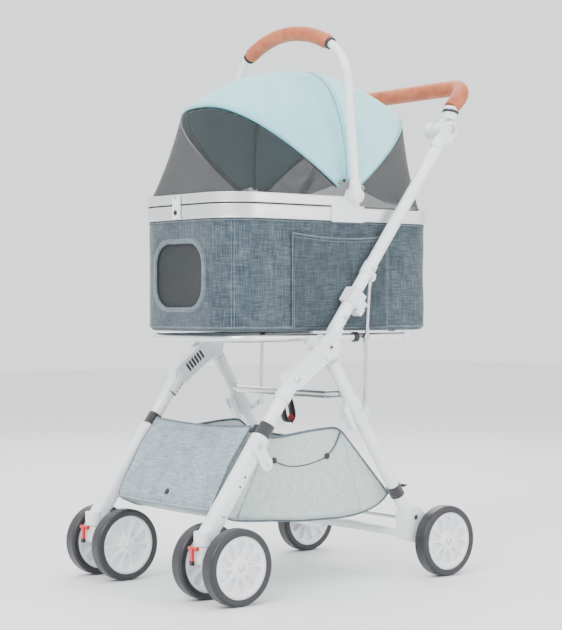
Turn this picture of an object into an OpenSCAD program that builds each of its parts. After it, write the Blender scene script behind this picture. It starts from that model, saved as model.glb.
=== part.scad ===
// Folding pet stroller with a lift-off carrier, twin front casters and a rear axle.
// Ground at Z = 0, the front of the stroller faces -Y, X = 0 is the centre plane.
// Side-view places are [y, z] pairs.

/* [Wheels] */
// Wheel diameter over the tyre
wheel_d = 140; // [110:1:180]
// Tyre and rim width
wheel_w = 30; // [24:1:36]
// Radial thickness of the tyre
tyre_t = 13; // [9:1:20]
// Number of spokes in a rim
spokes = 10; // [6:1:14]
// Diameter of the wheel bolts
bolt_d = 8; // [6:1:10]
// Centre distance of the two wheels of a front caster
twin_gap = 94; // [88:1:110]
// How far a front wheel trails behind its swivel axis
caster_trail = 42; // [34:1:55]
// Centre distance of the rear wheels
rear_track = 436; // [424:1:480]

/* [Frame] */
// Centre distance of the two side frames
frame_w = 366; // [360:1:440]
// Distance between the front and the rear wheel axes
wheelbase = 528; // [480:1:640]
// Height of the fold pivot above the ground
pivot_h = 460; // [430:1:540]
// Fold pivot's place along the stroller
pivot_y = -45; // [-65:1:-15]
// Diameter of the push tubes and of the upper front legs
tube_d = 26; // [20:1:28]
// Diameter of the rear legs
rear_tube_d = 25; // [20:1:27]
// Slope of the push tubes, from level
push_slope = 53.2; // [50:0.1:58]
// Distance from the fold pivot to the handle pivot
push_len = 543; // [480:1:640]
// Diameter of the carrier support rail
rail_d = 15; // [12:1:18]
// Diameter of the brace rods
brace_d = 8; // [6:0.5:8]

/* [Handles] */
// Grip diameter of the push handle
grip_d = 34; // [28:1:38]
// Reach of the push handle's grip from the top of its stems
grip_reach = 71; // [66:1:90]
// Height of the carry handle above its pivot
carry_h = 333; // [325:1:380]
// Diameter of the carry handle tube
carry_d = 17; // [13:0.5:17]

/* [Carrier] */
// Outer width of the carrier's rim
carrier_w = 322; // [300:1:322]
// Carrier rim's front end
carrier_front = -257; // [-279:1:-225]
// Carrier rim's rear end
carrier_rear = 266; // [231:1:269]
// Height of the carrier body under its rim
body_h = 214; // [180:1:214]
// Top of the lower rim above the ground
rim_top = 729; // [700:1:760]
// Height of the lower rim band
rim_h = 26; // [20:1:32]
// Wall thickness of the padded fabric body
body_wall = 5; // [3:0.5:8]
// Width of the front window
window_w = 156; // [100:1:180]
// Height of the front window
window_h = 128; // [80:1:150]

/* [Canopy] */
// Apex height of the front bow from the canopy pivot
front_bow_h = 302; // [280:1:310]
// Apex height of the middle bow from the canopy pivot
mid_bow_h = 256; // [230:1:280]
// Apex height of the rear bow from the canopy pivot
rear_bow_h = 298; // [270:1:305]
// Thickness of the canopy cloth
cloth_t = 1.6; // [1.2:0.1:3]

/* [Hidden] */

$fn = 48;
air = 0.3;          // clearance between pieces that move past each other
fit = 0.06;         // radial clearance of a running fit
left = 1;
right = -1;

// Side view places, [y, z]
axle_h = wheel_d / 2;
side_x = frame_w / 2;
hub = [pivot_y, pivot_h];
mid_y = -25;        // wheels' midpoint: Y = 0 is midway between the wheels' and the grip's ends
front_axle = [mid_y - wheelbase / 2, axle_h];
rear_axle = [mid_y + wheelbase / 2, axle_h];
caster_y = front_axle[0] - caster_trail;
leg_foot = [caster_y, wheel_d * 0.8];
elbow_end = hub + [-79, -60];
leg_dir = unit(elbow_end - leg_foot);
leg_len = norm(elbow_end - leg_foot);
sheath_len = leg_len * 0.6;
rear_foot = [rear_axle[0] - 67, axle_h + 52];
rear_dir = unit(rear_foot - hub);
rear_len = norm(rear_foot - hub);
push_dir = [cos(push_slope), sin(push_slope)];
push_up = [-sin(push_slope), cos(push_slope)];
handle_pivot = hub + push_dir * push_len;

// Layers through the fold hub, along X outward from the centre plane
hub_r = 24;
hub_in = side_x - tube_d / 2;
hub_plate = 3.6;
hub_eye = 10;
eye_rear = hub_in + hub_plate + air;
eye_push = eye_rear + hub_eye + air;
hub_out = eye_push + hub_eye + air;
hub_pin_d = 8;
neck = hub_r + 10;

// Brace between the push tubes and the rear sleeves
brace_in = hub_in - 8.5;
brace_x = brace_in + brace_d / 2;
brace_t = 3.4;
brace_eye = 7;
rail_z = rim_top - rim_h - body_h - 4 - rail_d / 2;
brace_top = hub + push_dir * 185 - push_up * 24;
knee = [brace_top[0] - 8, rail_z];
brace_low = [knee[0] - 4, knee[1] - 141];
lower_eye = brace_in;
upper_eye = brace_in + brace_t + air;

// Support rail under the carrier
rail_x = brace_in - 11.5;
rail_front = carrier_front + 30;
rail_rear = knee[0] + 112;
rail_bend = 52;

// Carrier
carrier_x = carrier_w / 2;
front_r = 84;
rear_r = 44;
rim_z = rim_top - rim_h;
body_z = rim_z - body_h;
rim_t = 5;
tilt_pivot = [41, rim_top + 23];
window_z = body_z + body_h * 0.5;
window_r = 46;

// Lid: the band on top of the front half of the rim
lid_z = rim_top + 3;
lid_h = 19;
lid_t = 5;

// Bows: [angle, half width, apex, squareness]
front_bow_a = 34;
mid_bow_a = 88;
rear_bow_a = 140;
bow_r = 3;
bow_w = carrier_x - 5.5;
bow_gap = 7;
foot_r = 16;
front_curve = [front_bow_a, bow_w, front_bow_h, 2.6];
mid_curve = [mid_bow_a, bow_w - bow_gap, mid_bow_h, 2.5];
rear_curve = [rear_bow_a, bow_w, rear_bow_h, 2.2];
lid_curve = [-1, bow_w - 2, tilt_pivot[0] - carrier_front - 8, 5.8];
rim_curve = [185, bow_w - 1, carrier_rear - tilt_pivot[0] - 6, 7];

// Basket outline in side view, front top corner first
basket_x = side_x - 25;
basket_t = 2.5;
basket_top = elbow_end + [-76, -86];
basket_toe = leg_foot + [39, 54];
basket_heel = [rear_foot[0] - 30, rear_foot[1] + 44];
basket_back = rear_axle + [-200, 216];
belly = wheel_d - 12;

// ---------- helpers ----------
function unit(v) = v / norm(v);
function turn(v, a) = [v[0] * cos(a) - v[1] * sin(a), v[0] * sin(a) + v[1] * cos(a)];
function lerp(a, b, t) = a + (b - a) * t;

// Rounded power curve of a bow: half width, apex, squareness, t from 0 to 1
function power(v, n) = sign(v) * pow(abs(v), 2 / n);
function bow_x(c, t) = c[1] * power(cos(180 * t), c[3]);
function bow_rad(c, t) = foot_r + (c[2] - foot_r) * power(sin(180 * t), c[3]);
function bow_pt(c, t) =
    [bow_x(c, t),
     tilt_pivot[0] - bow_rad(c, t) * cos(c[0]),
     tilt_pivot[1] + bow_rad(c, t) * sin(c[0])];
function mix_curve(p, q, s, dip) =
    [lerp(p[0], q[0], s), lerp(p[1], q[1], s),
     lerp(p[2], q[2], s) - dip * sin(180 * s), lerp(p[3], q[3], s)];
function inset(c, d) = [c[0], c[1] - d, c[2] - d, c[3]];

// Both sides of the stroller
module both() {
    children();
    mirror([1, 0, 0]) children();
}

// One side: left is +X
module on_side(side) {
    if (side > 0) children();
    else mirror([1, 0, 0]) children();
}

// Round bar between two points
module rod(p, q, r) {
    d = q - p;
    translate(p)
        rotate([0, acos(d[2] / norm(d)), atan2(d[1], d[0])])
            cylinder(h = norm(d), r = r);
}

// Hollow bar between two points
module tube(p, q, r, wall) {
    d = q - p;
    translate(p)
        rotate([0, acos(d[2] / norm(d)), atan2(d[1], d[0])])
            difference() {
                cylinder(h = norm(d), r = r);
                translate([0, 0, -1]) cylinder(h = norm(d) + 2, r = r - wall);
            }
}

// Cylinder along X from x0 to x1 at a side-view place
module xdisc(x0, x1, place, r) {
    translate([x0, place[0], place[1]])
        rotate([0, 90, 0])
            cylinder(h = x1 - x0, r = r);
}

// Side-view outline given as [y, z] points, extruded from x0 to x1
module side_plate(x0, x1, pts) {
    translate([x0, 0, 0])
        rotate([90, 0, 90])
            linear_extrude(height = x1 - x0)
                polygon(pts);
}

// Straight bar seen from the side: from place a to place b with round or square ends
module side_bar(x0, x1, a, b, half) {
    d = unit(b - a);
    n = [-d[1], d[0]] * half;
    side_plate(x0, x1, [a + n, a - n, b - n, b + n]);
}

module xyz(x, place) {
    translate([x, place[0], place[1]]) children();
}

// Plan outline of the carrier: half width, front, rear and corner radii
module plan(hw, y0, y1, rf, rr) {
    translate([-hw, y0 + rf]) square([2 * hw, y1 - y0 - rf - rr]);
    translate([-hw + rf, y0]) square([2 * (hw - rf), rf + 1]);
    translate([-hw + rr, y1 - rr - 1]) square([2 * (hw - rr), rr + 1]);
    for (s = [left, right]) {
        translate([s * (hw - rf), y0 + rf]) circle(r = rf);
        translate([s * (hw - rr), y1 - rr]) circle(r = rr);
    }
}

module plan_in(d) {
    plan(carrier_x - d, carrier_front + d, carrier_rear - d, front_r - d, rear_r - d);
}

// Point of a cloth between two bow curves: fanned over them, or pulled straight
function cloth_pt(p, q, s, t, dip, straight) =
    straight ? lerp(bow_pt(p, t), bow_pt(q, t), s) : bow_pt(mix_curve(p, q, s, dip), t);

// Closed cloth shell between two bow curves
module cloth(p, q, dip, thick, straight = false, across = 20, along = 5) {
    m = across + 1;
    sheet = [for (j = [0 : along]) for (i = [0 : across]) [j / along, 0.02 + 0.96 * i / across]];
    outer = [for (v = sheet) cloth_pt(p, q, v[0], v[1], dip, straight)];
    inner = [for (v = sheet) cloth_pt(inset(p, thick), inset(q, thick), v[0], v[1], dip, straight)];
    k = len(outer);
    function at(j, i) = j * m + i;
    faces = concat(
        [for (j = [0 : along - 1]) for (i = [0 : across - 1]) each
            [[at(j, i), at(j, i + 1), at(j + 1, i + 1)], [at(j, i), at(j + 1, i + 1), at(j + 1, i)]]],
        [for (j = [0 : along - 1]) for (i = [0 : across - 1]) each
            [[k + at(j, i), k + at(j + 1, i + 1), k + at(j, i + 1)],
             [k + at(j, i), k + at(j + 1, i), k + at(j + 1, i + 1)]]],
        [for (i = [0 : across - 1]) each
            [[at(0, i), k + at(0, i), k + at(0, i + 1)], [at(0, i), k + at(0, i + 1), at(0, i + 1)],
             [at(along, i), k + at(along, i + 1), k + at(along, i)],
             [at(along, i), at(along, i + 1), k + at(along, i + 1)]]],
        [for (j = [0 : along - 1]) each
            [[at(j, 0), at(j + 1, 0), k + at(j + 1, 0)], [at(j, 0), k + at(j + 1, 0), k + at(j, 0)],
             [at(j, across), k + at(j + 1, across), at(j + 1, across)],
             [at(j, across), k + at(j, across), k + at(j + 1, across)]]]
    );
    polyhedron(points = concat(outer, inner), faces = faces, convexity = 6);
}

// Round bar swept along a flat path; side_n is the normal of the path's plane
module bent_bar(path, side_n, r, sides) {
    last = len(path) - 1;
    function tangent(i) = unit(path[min(i + 1, last)] - path[max(i - 1, 0)]);
    ring = [for (i = [0 : last])
        let (u = cross(tangent(i), side_n))
        for (k = [0 : sides - 1])
            path[i] + r * (u * cos(360 * k / sides) + side_n * sin(360 * k / sides))];
    faces = concat(
        [for (i = [0 : last - 1]) for (k = [0 : sides - 1]) each
            [[i * sides + k, (i + 1) * sides + (k + 1) % sides, (i + 1) * sides + k],
             [i * sides + k, i * sides + (k + 1) % sides, (i + 1) * sides + (k + 1) % sides]]],
        [[for (k = [sides - 1 : -1 : 0]) k]],
        [[for (k = [0 : sides - 1]) last * sides + k]]
    );
    polyhedron(points = ring, faces = faces, convexity = 4);
}

// Round wire bent along a bow curve
module bow_wire(c, r, across = 24) {
    path = [for (i = [0 : across]) bow_pt(c, i / across)];
    bent_bar(path, [0, sin(c[0]), cos(c[0])], r, 8);
}

// ---------- wheels ----------
module rim_at(x, place) {
    r_out = wheel_d / 2 - tyre_t;
    r_hub = 15;
    web = 5;
    color("white") xyz(x, place) rotate([0, 90, 0]) {
        difference() {
            rotate_extrude() polygon([
                [bolt_d / 2 + fit, -wheel_w / 2 + 1], [r_hub, -wheel_w / 2 + 1],
                [r_hub, -web / 2], [r_out - 4, -web / 2],
                [r_out - 4, -wheel_w / 2 + 3], [r_out, -wheel_w / 2 + 3],
                [r_out, wheel_w / 2 - 3], [r_out - 4, wheel_w / 2 - 3],
                [r_out - 4, web / 2], [r_hub, web / 2],
                [r_hub, wheel_w / 2 - 1], [bolt_d / 2 + fit, wheel_w / 2 - 1]
            ]);
            for (k = [0 : spokes - 1])
                rotate([0, 0, 360 * (k + 0.5) / spokes])
                    translate([r_out * 0.62, 0, 0])
                        cylinder(h = wheel_w, r = r_out * 0.13, center = true);
        }
        for (k = [0 : spokes - 1])
            rotate([0, 0, 360 * k / spokes])
                translate([r_hub - 1, -1.5, -wheel_w / 2 + 5])
                    cube([r_out - r_hub - 2, 3, wheel_w - 10]);
    }
}

module tyre_at(x, place) {
    r_in = wheel_d / 2 - tyre_t + 0.05;
    shoulder = 6;
    color([0.08, 0.08, 0.09]) xyz(x, place) rotate([0, 90, 0])
        rotate_extrude() difference() {
            union() {
                translate([r_in, -wheel_w / 2]) square([tyre_t - shoulder - 0.05, wheel_w]);
                translate([r_in, -wheel_w / 2 + shoulder])
                    square([tyre_t - 0.05, wheel_w - 2 * shoulder]);
                for (s = [-1, 1])
                    translate([wheel_d / 2 - shoulder, s * (wheel_w / 2 - shoulder)])
                        circle(r = shoulder);
            }
            translate([0, -wheel_w]) square([r_in, 2 * wheel_w]);
        }
}

// ---------- casters ----------
swivel_r = 11;
swivel_pin_d = 10;
caster_w = twin_gap - wheel_w - 34;

module caster(side) {
    top = leg_foot[1] - 6;
    color("white") xyz(side * side_x, [0, 0]) {
        // Swivel housing under the leg, arm back to the axle and the axle boss
        translate([0, caster_y, top - 26]) cylinder(h = 26 - air, r = swivel_r + 5);
        hull() {
            translate([-caster_w / 2, caster_y - 14, top - 30]) cube([caster_w, 26, 12]);
            xdisc(-caster_w / 2, caster_w / 2, front_axle + [0, 4], 12, $fn = 32);
        }
        xdisc(-twin_gap / 2 + wheel_w / 2 + 1, twin_gap / 2 - wheel_w / 2 - 1, front_axle, 10);
    }
    color("silver") xyz(side * side_x, [0, 0]) {
        xdisc(-twin_gap / 2 - wheel_w / 2 - 2, -twin_gap / 2 + wheel_w / 2 + 1, front_axle, bolt_d / 2);
        xdisc(twin_gap / 2 - wheel_w / 2 - 1, twin_gap / 2 + wheel_w / 2 + 2, front_axle, bolt_d / 2);
        // Swivel pin up into the leg
        translate([0, caster_y, top - 4]) cylinder(h = 22, r = swivel_pin_d / 2);
    }
}

lock_pivot = [caster_y - swivel_r - 10, leg_foot[1] - 8];
module swivel_lock(side) {
    color("red") xyz(side * side_x, [0, 0]) {
        xdisc(-13, 13, lock_pivot, 3.5);
        translate([-3.5, lock_pivot[0] - 5.5, lock_pivot[1] - 22]) cube([7, 5, 23]);
    }
    color([0.08, 0.08, 0.09]) xyz(side * side_x, [0, 0])
        translate([-4, lock_pivot[0] - 6, lock_pivot[1] - 30]) cube([8, 6, 8 - 0.02]);
}

// ---------- front frame ----------
module front_elbows() {
    arm = unit(elbow_end - hub);
    socket = elbow_end - leg_dir * 46;
    color("white") both() {
        // Fork of two plates round the hub, joined by the arm
        difference() {
            union() {
                for (x = [hub_in, hub_out]) {
                    xdisc(x, x + hub_plate, hub, hub_r);
                    side_bar(x, x + hub_plate, hub, hub + arm * (neck + 2), hub_r - 3);
                }
                side_bar(hub_in, hub_out + hub_plate, hub + arm * (neck + 1), elbow_end, 19);
                xdisc(hub_in, hub_out + hub_plate, elbow_end, 19);
                rod([side_x, elbow_end[0], elbow_end[1]], [side_x, socket[0], socket[1]], 16);
            }
            xdisc(hub_in - 1, hub_out + hub_plate + 1, hub, hub_pin_d / 2 + fit);
            tube_hole = elbow_end - leg_dir * 12;
            low = elbow_end - leg_dir * 60;
            rod([side_x, tube_hole[0], tube_hole[1]], [side_x, low[0], low[1]], tube_d / 2);
        }
    }
}

module front_legs() {
    top = elbow_end - leg_dir * 12.2;
    low = leg_foot + leg_dir * (sheath_len - 40);
    color("white") both()
        tube([side_x, low[0], low[1]], [side_x, top[0], top[1]], tube_d / 2 - 0.02, 1.8);
}

// Lower leg pieces stand on the leg's foot, with Z up along the leg
module leg_frame() {
    xyz(side_x, leg_foot) rotate([-atan2(leg_dir[0], leg_dir[1]), 0, 0]) children();
}

// Section swept by the upper inner edge of a twin wheel about the swivel axis
module tyre_sweep() {
    inner = twin_gap / 2 - wheel_w / 2 - 0.6;
    reach = wheel_d / 2 + 0.8;
    trail = front_axle[0] - caster_y;
    rows = [for (h = [reach * 0.7 : reach * 0.02 : reach * 0.9999])
        [norm([inner, max(0, trail - sqrt(reach * reach - h * h))]), h]];
    polygon(concat(rows, [[norm([inner, trail]), reach],
        [trail + reach, reach], [trail + reach, rows[0][1]]]));
}

module leg_sheaths() {
    offset_r = 4;       // half distance of the two arcs of the flat oval
    oval_r = 14.5;
    color("white") both() difference() {
        union() {
            leg_frame() translate([0, 0, 10]) linear_extrude(height = sheath_len - 10) {
                square([2 * oval_r, 2 * offset_r], center = true);
                for (s = [-1, 1]) translate([0, s * offset_r]) circle(r = oval_r);
            }
            // Swivel socket
            translate([side_x, caster_y, leg_foot[1] - 5]) cylinder(h = 26, r = swivel_r + 5.5);
        }
        // Room for the tyres as the caster swivels
        translate([side_x, caster_y, wheel_d / 2]) rotate_extrude() tyre_sweep();
        leg_frame() translate([0, 0, sheath_len - 40.5]) cylinder(h = 50, r = tube_d / 2);
        translate([side_x, caster_y, leg_foot[1] - 6])
            cylinder(h = 20, r = swivel_pin_d / 2 + fit);
    }
}

// Moulded caps of the front legs, the covers of the fold hubs and their pins
module frame_caps() {
    leg_caps();
    hub_covers();
}

module leg_caps() {
    at = leg_foot + leg_dir * (sheath_len + 0.5);
    back = [leg_dir[1], -leg_dir[0]];
    heel = at - leg_dir * 26 + back * 30;
    color("white") both() difference() {
        union() {
            side_bar(side_x + 15, side_x + 18.5, at - leg_dir * 10 - back * 10, heel, 12);
            xdisc(side_x + 15, side_x + 18.5, heel, 12);
            xdisc(side_x + 15, side_x + 18.5, at - leg_dir * 10 - back * 4, 16);
            rod([side_x, at[0], at[1]], [side_x, at[0] + leg_dir[0] * 12, at[1] + leg_dir[1] * 12], 17.5);
            xdisc(side_x - 12, side_x + 16, at - leg_dir * 18 + back * 32, 7);
        }
        rod([side_x, at[0] - leg_dir[0] * 5, at[1] - leg_dir[1] * 5],
            [side_x, at[0] + leg_dir[0] * 13, at[1] + leg_dir[1] * 13], tube_d / 2 + 0.02);
    }
    // Rivet heads
    color("silver") both() {
        xdisc(side_x + 18.52, side_x + 20, heel, 3.5);
        xdisc(side_x + 18.52, side_x + 20.4, at - leg_dir * 8 - back * 4, 5);
    }
}

module hub_covers() {
    x = hub_out + hub_plate + 0.02;
    color("white") both() {
        xdisc(x, x + 3, hub, hub_r + 1);
        xdisc(x + 3, x + 4.5, hub, hub_r - 3);
    }
    // Pin through the fork and both eyes
    color("silver") both() {
        xdisc(hub_in - 0.2, hub_out + hub_plate, hub, hub_pin_d / 2);
        xdisc(x + 4.52, x + 6, hub, 5);
    }
}

module rail_corner(r) {
    translate([rail_x - rail_bend, rail_front + rail_bend, rail_z])
        rotate([0, 0, -90])
            rotate_extrude(angle = 90) translate([rail_bend, 0]) circle(r = r);
}

module support_rail() {
    r = rail_d / 2;
    color("silver") {
        both() {
            rail_corner(r);
            rod([rail_x, rail_front + rail_bend, rail_z], [rail_x, rail_rear, rail_z], r);
        }
        rod([-rail_x + rail_bend, rail_front, rail_z], [rail_x - rail_bend, rail_front, rail_z], r);
    }
}

module rail_fittings() {
    r = rail_d / 2;
    // Brackets from the fold hubs, with a saddle under the rail
    color("white") both() {
        difference() {
            translate([rail_x - 4, hub[0] - 20, rail_z - r - 4])
                cube([hub_in - rail_x + 4 - 0.25, 38, r + 8]);
            translate([rail_x, hub[0] - 30, rail_z]) rotate([-90, 0, 0])
                cylinder(h = 60, r = r + 0.03);
            xdisc(hub_in - 6, hub_in + 1, hub, hub_pin_d / 2 + 1);
        }
        // End plugs of the rail
        rod([rail_x, rail_rear + 0.02, rail_z], [rail_x, rail_rear + 9, rail_z], r + 1);
        xdisc(rail_x - 6, rail_x + 8, [rail_rear + 5, rail_z - 3], 4.5);
    }
    // Black bushings beside the knee pins
    color([0.08, 0.08, 0.09]) both()
        tube([rail_x, knee[0] - 22, rail_z], [rail_x, knee[0] - 12, rail_z], r + 2.4, 2.38);
    // Knee pin stubs
    color("silver") both()
        xdisc(rail_x + r + 0.02, brace_in - air, knee, 2.5);
}

module strap_ring(p, d, half, r, wall) {
    a = p - d * half;
    b = p + d * half;
    tube([side_x, a[0], a[1]], [side_x, b[0], b[1]], r + wall, wall - 0.05);
}

module front_straps() {
    at = leg_foot + leg_dir * (sheath_len + 28);
    color([0.08, 0.08, 0.09]) both() strap_ring(at, leg_dir, 13, tube_d / 2, 2.2);
}

// ---------- basket ----------
function basket_floor_pts() = [
    basket_toe, basket_toe + [62, -25], [basket_toe[0] + 150, belly + 10],
    [pivot_y + 10, belly + 1], [basket_heel[0] - 80, belly + 1],
    [basket_heel[0] - 18, belly + 22], basket_heel
];

// Thin band along side-view points, thick inward
module side_band(x0, x1, pts, t) {
    n = len(pts);
    function normal(i) =
        let (a = pts[max(i - 1, 0)], b = pts[min(i + 1, n - 1)], d = unit(b - a)) [-d[1], d[0]];
    inner = [for (i = [n - 1 : -1 : 0]) pts[i] + normal(i) * t];
    side_plate(x0, x1, concat(pts, inner));
}

module basket_front() {
    color([0.5, 0.58, 0.64])
        side_band(-basket_x + basket_t + 0.1, basket_x - basket_t - 0.1,
            [basket_top, lerp(basket_top, basket_toe, 0.972)], basket_t);
}

module basket_mesh() {
    side = concat([basket_top + [12, -4]], basket_floor_pts(), [basket_back],
        [[pivot_y + 50, basket_back[1] + 18], [pivot_y - 40, basket_back[1] + 14],
         [pivot_y - 112, basket_back[1] + 6]]);
    color([0.75, 0.82, 0.78]) {
        both() side_plate(basket_x - basket_t, basket_x, side);
        side_band(-basket_x + basket_t, basket_x - basket_t, basket_floor_pts(), basket_t);
        side_band(-basket_x + basket_t, basket_x - basket_t,
            [basket_heel, basket_back], basket_t);
    }
}

// ---------- rear frame ----------
module rear_legs() {
    start = hub + rear_dir * neck;
    color("white") both() difference() {
        union() {
            xdisc(eye_rear, eye_rear + hub_eye, hub, hub_r - 2);
            side_bar(eye_rear, eye_rear + hub_eye, hub, hub + rear_dir * (neck + 14), hub_r - 12.2);
            rod([side_x, start[0], start[1]], [side_x, rear_foot[0], rear_foot[1]], rear_tube_d / 2);
            // Moulded neck at the top of the leg
            rod([side_x, start[0], start[1]],
                [side_x, start[0] + rear_dir[0] * 30, start[1] + rear_dir[1] * 30], rear_tube_d / 2 + 0.4);
        }
        xdisc(eye_rear - 1, eye_rear + hub_eye + 1, hub, hub_pin_d / 2 + fit);
    }
}

sleeve_at = hub + rear_dir * 145;
sleeve_half = 26;
sleeve_r = rear_tube_d / 2 + 3;
lever_pivot = sleeve_at - rear_dir * 16 + turn(rear_dir, -90) * 24;

module rear_sleeves() {
    a = sleeve_at - rear_dir * sleeve_half;
    b = sleeve_at + rear_dir * sleeve_half;
    fore = turn(rear_dir, -90);
    foot = sleeve_at + rear_dir * 20;
    color("white") both() {
        difference() {
            union() {
                rod([side_x, a[0], a[1]], [side_x, b[0], b[1]], sleeve_r);
                // Lug for the fold lever, in front of the sleeve
                side_bar(side_x - 4, side_x + 4, sleeve_at - rear_dir * 16,
                    lever_pivot, 6);
                // Bracket behind the sleeve for the brace
                side_bar(upper_eye + 0.2, hub_in + 8, foot - fore * 8, brace_low, 5);
                xdisc(upper_eye + 0.2, upper_eye + 3.4, brace_low, 7);
            }
            rod([side_x, a[0] - rear_dir[0], a[1] - rear_dir[1]],
                [side_x, b[0] + rear_dir[0], b[1] + rear_dir[1]], rear_tube_d / 2 + 0.05);
            // Room for the eye of the brace rod
            xdisc(brace_in - 1, upper_eye + 0.19, brace_low, 12);
        }
        // Pins that the fold levers turn on
        xdisc(side_x - 8.4, side_x - 4.02, lever_pivot, 2.44);
        xdisc(side_x + 4.02, side_x + 8.4, lever_pivot, 2.44);
    }
}

crossbar_at = sleeve_at + [-24, 30];
module rear_crossbar() {
    r = 7;
    lift = [-14, -2];
    x_in = hub_in - 2;
    color("silver") {
        rod([-x_in + 26, crossbar_at[0] + lift[0], crossbar_at[1] + lift[1]],
            [x_in - 26, crossbar_at[0] + lift[0], crossbar_at[1] + lift[1]], r);
        both() {
            rod([x_in - 27, crossbar_at[0] + lift[0], crossbar_at[1] + lift[1]],
                [x_in - 2, crossbar_at[0], crossbar_at[1]], r - 0.5);
            xdisc(x_in - 4, x_in + 2.5, crossbar_at, r);
        }
    }
}

axle_bar_at = rear_foot + [-8, -34];
brake_bar_at = rear_foot + [-15, -3];

module rear_axle_bar() {
    color("white")
        xdisc(-side_x + 11, side_x - 11, axle_bar_at, 9);
}

module wheel_brackets() {
    x0 = side_x - 11.9;
    x1 = side_x + 11.9;
    hub_face = rear_track / 2 - wheel_w / 2 + 0.6;
    color("white") both() {
        difference() {
            union() {
                side_plate(x0, x1, [rear_foot + [-22, 8], axle_bar_at + [-12, -12],
                    rear_axle + [-6, -14], rear_axle + [10, -6], rear_axle + [8, 12],
                    rear_foot + [24, 14], rear_foot + [6, 20]]);
                xdisc(x0, hub_face, rear_axle, 13);
            }
            rod([side_x, rear_foot[0], rear_foot[1]],
                [side_x, rear_foot[0] - rear_dir[0] * 40, rear_foot[1] - rear_dir[1] * 40],
                rear_tube_d / 2 + 0.03);
            xdisc(x0 - 1, x0 + 1, axle_bar_at, 9.05);
            xdisc(x0 - 1, x0 + 6, brake_bar_at, 4.6);
        }
    }
    color("silver") both() {
        xdisc(hub_face, rear_track / 2 + wheel_w / 2 + 2, rear_axle, bolt_d / 2);
        xdisc(x1 + 0.02, x1 + 2, rear_foot + [9, -3], 5);
    }
}

module rear_straps() {
    at = hub + rear_dir * (rear_len - 62);
    color([0.08, 0.08, 0.09]) both() {
        strap_ring(at, rear_dir, 12, rear_tube_d / 2, 2.2);
        tail = at + turn(rear_dir, 90) * (rear_tube_d / 2 + 2.4);
        side_bar(side_x - 11, side_x + 11, tail, tail + turn(rear_dir, 80) * 16, 1.4);
    }
}

module brake_bar() {
    color("silver") xdisc(-side_x + 8, side_x - 8, brake_bar_at, 4);
    color("red") translate([-22, brake_bar_at[0] + 3.8, brake_bar_at[1] - 3]) cube([44, 26, 5]);
}

module brace_eye_pair(x, a, b) {
    xdisc(x, x + brace_t, a, brace_eye);
    side_bar(x, x + brace_t, a, b, brace_d / 2);
}

module lower_links() {
    up = unit(knee - brace_low);
    color("silver") both() {
        brace_eye_pair(lower_eye, knee, knee - up * 17);
        brace_eye_pair(lower_eye, brace_low, brace_low + up * 17);
        rod([brace_x, knee[0] - up[0] * 16, knee[1] - up[1] * 16],
            [brace_x, brace_low[0] + up[0] * 16, brace_low[1] + up[1] * 16], brace_d / 2);
    }
}

module fold_levers() {
    fore = turn(rear_dir, -90);
    tip = lever_pivot + rear_dir * 44 + fore * 3;
    color("white") both() difference() {
        union() {
            for (x = [side_x - 8.5, side_x + 4.3])
                side_bar(x, x + 4.2, lever_pivot, lever_pivot + rear_dir * 18, 6);
            for (x = [side_x - 8.5, side_x + 4.3]) xdisc(x, x + 4.2, lever_pivot, 6);
            side_bar(side_x - 8.5, side_x + 8.5, lever_pivot + rear_dir * 14, tip, 4.5);
        }
        xdisc(side_x - 12, side_x + 12, lever_pivot, 2.5);
    }
}

// ---------- push frame ----------
arm_len = 132;
collar_at = hub + push_dir * 116;
clamp_at = hub + push_dir * 187;

module push_arms() {
    start = hub + push_dir * neck;
    end = hub + push_dir * arm_len;
    color("white") both() difference() {
        union() {
            xdisc(eye_push, eye_push + hub_eye, hub, hub_r - 2);
            side_bar(eye_push, eye_push + hub_eye, hub, hub + push_dir * (neck + 14), hub_r - 11.2);
            rod([side_x, start[0], start[1]], [side_x, end[0], end[1]], tube_d / 2);
        }
        xdisc(eye_push - 1, eye_push + hub_eye + 1, hub, hub_pin_d / 2 + fit);
    }
    rivet = hub + push_dir * 70;
    color("silver") both()
        xdisc(side_x + tube_d / 2 + 0.02, side_x + tube_d / 2 + 1.8, rivet, 4.5);
}

module push_tubes() {
    start = hub + push_dir * (arm_len + 0.05);
    end = hub + push_dir * (push_len - 26);
    color("white") both()
        tube([side_x, start[0], start[1]], [side_x, end[0], end[1]], tube_d / 2 - 1, 1.6);
}

// Collars of the fold latch, and the clamps that hold the brace
module tube_clamps() {
    a = collar_at - push_dir * 15;
    b = collar_at + push_dir * 15.9;
    color("white") both() {
        difference() {
            side_bar(hub_in + 0.05, side_x + 17, a, b, 16.5);
            rod([side_x, a[0] - push_dir[0], a[1] - push_dir[1]],
                [side_x, b[0] + push_dir[0], b[1] + push_dir[1]], tube_d / 2 + 0.03);
        }
        difference() {
            union() {
                side_bar(hub_in + 0.6, hub_in + 12, clamp_at, brace_top, 6);
                xdisc(hub_in + 0.05, hub_in + 5, brace_top, 8);
                rod([side_x, clamp_at[0] - push_dir[0] * 12, clamp_at[1] - push_dir[1] * 12],
                    [side_x, clamp_at[0] + push_dir[0] * 12, clamp_at[1] + push_dir[1] * 12],
                    tube_d / 2 + 0.9);
            }
            translate([hub_in - 30, clamp_at[0] - 60, clamp_at[1] - 60]) cube([30, 120, 120]);
            rod([side_x, clamp_at[0] - push_dir[0] * 30, clamp_at[1] - push_dir[1] * 30],
                [side_x, clamp_at[0] + push_dir[0] * 30, clamp_at[1] + push_dir[1] * 30],
                tube_d / 2 - 0.98);
        }
    }
}

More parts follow.
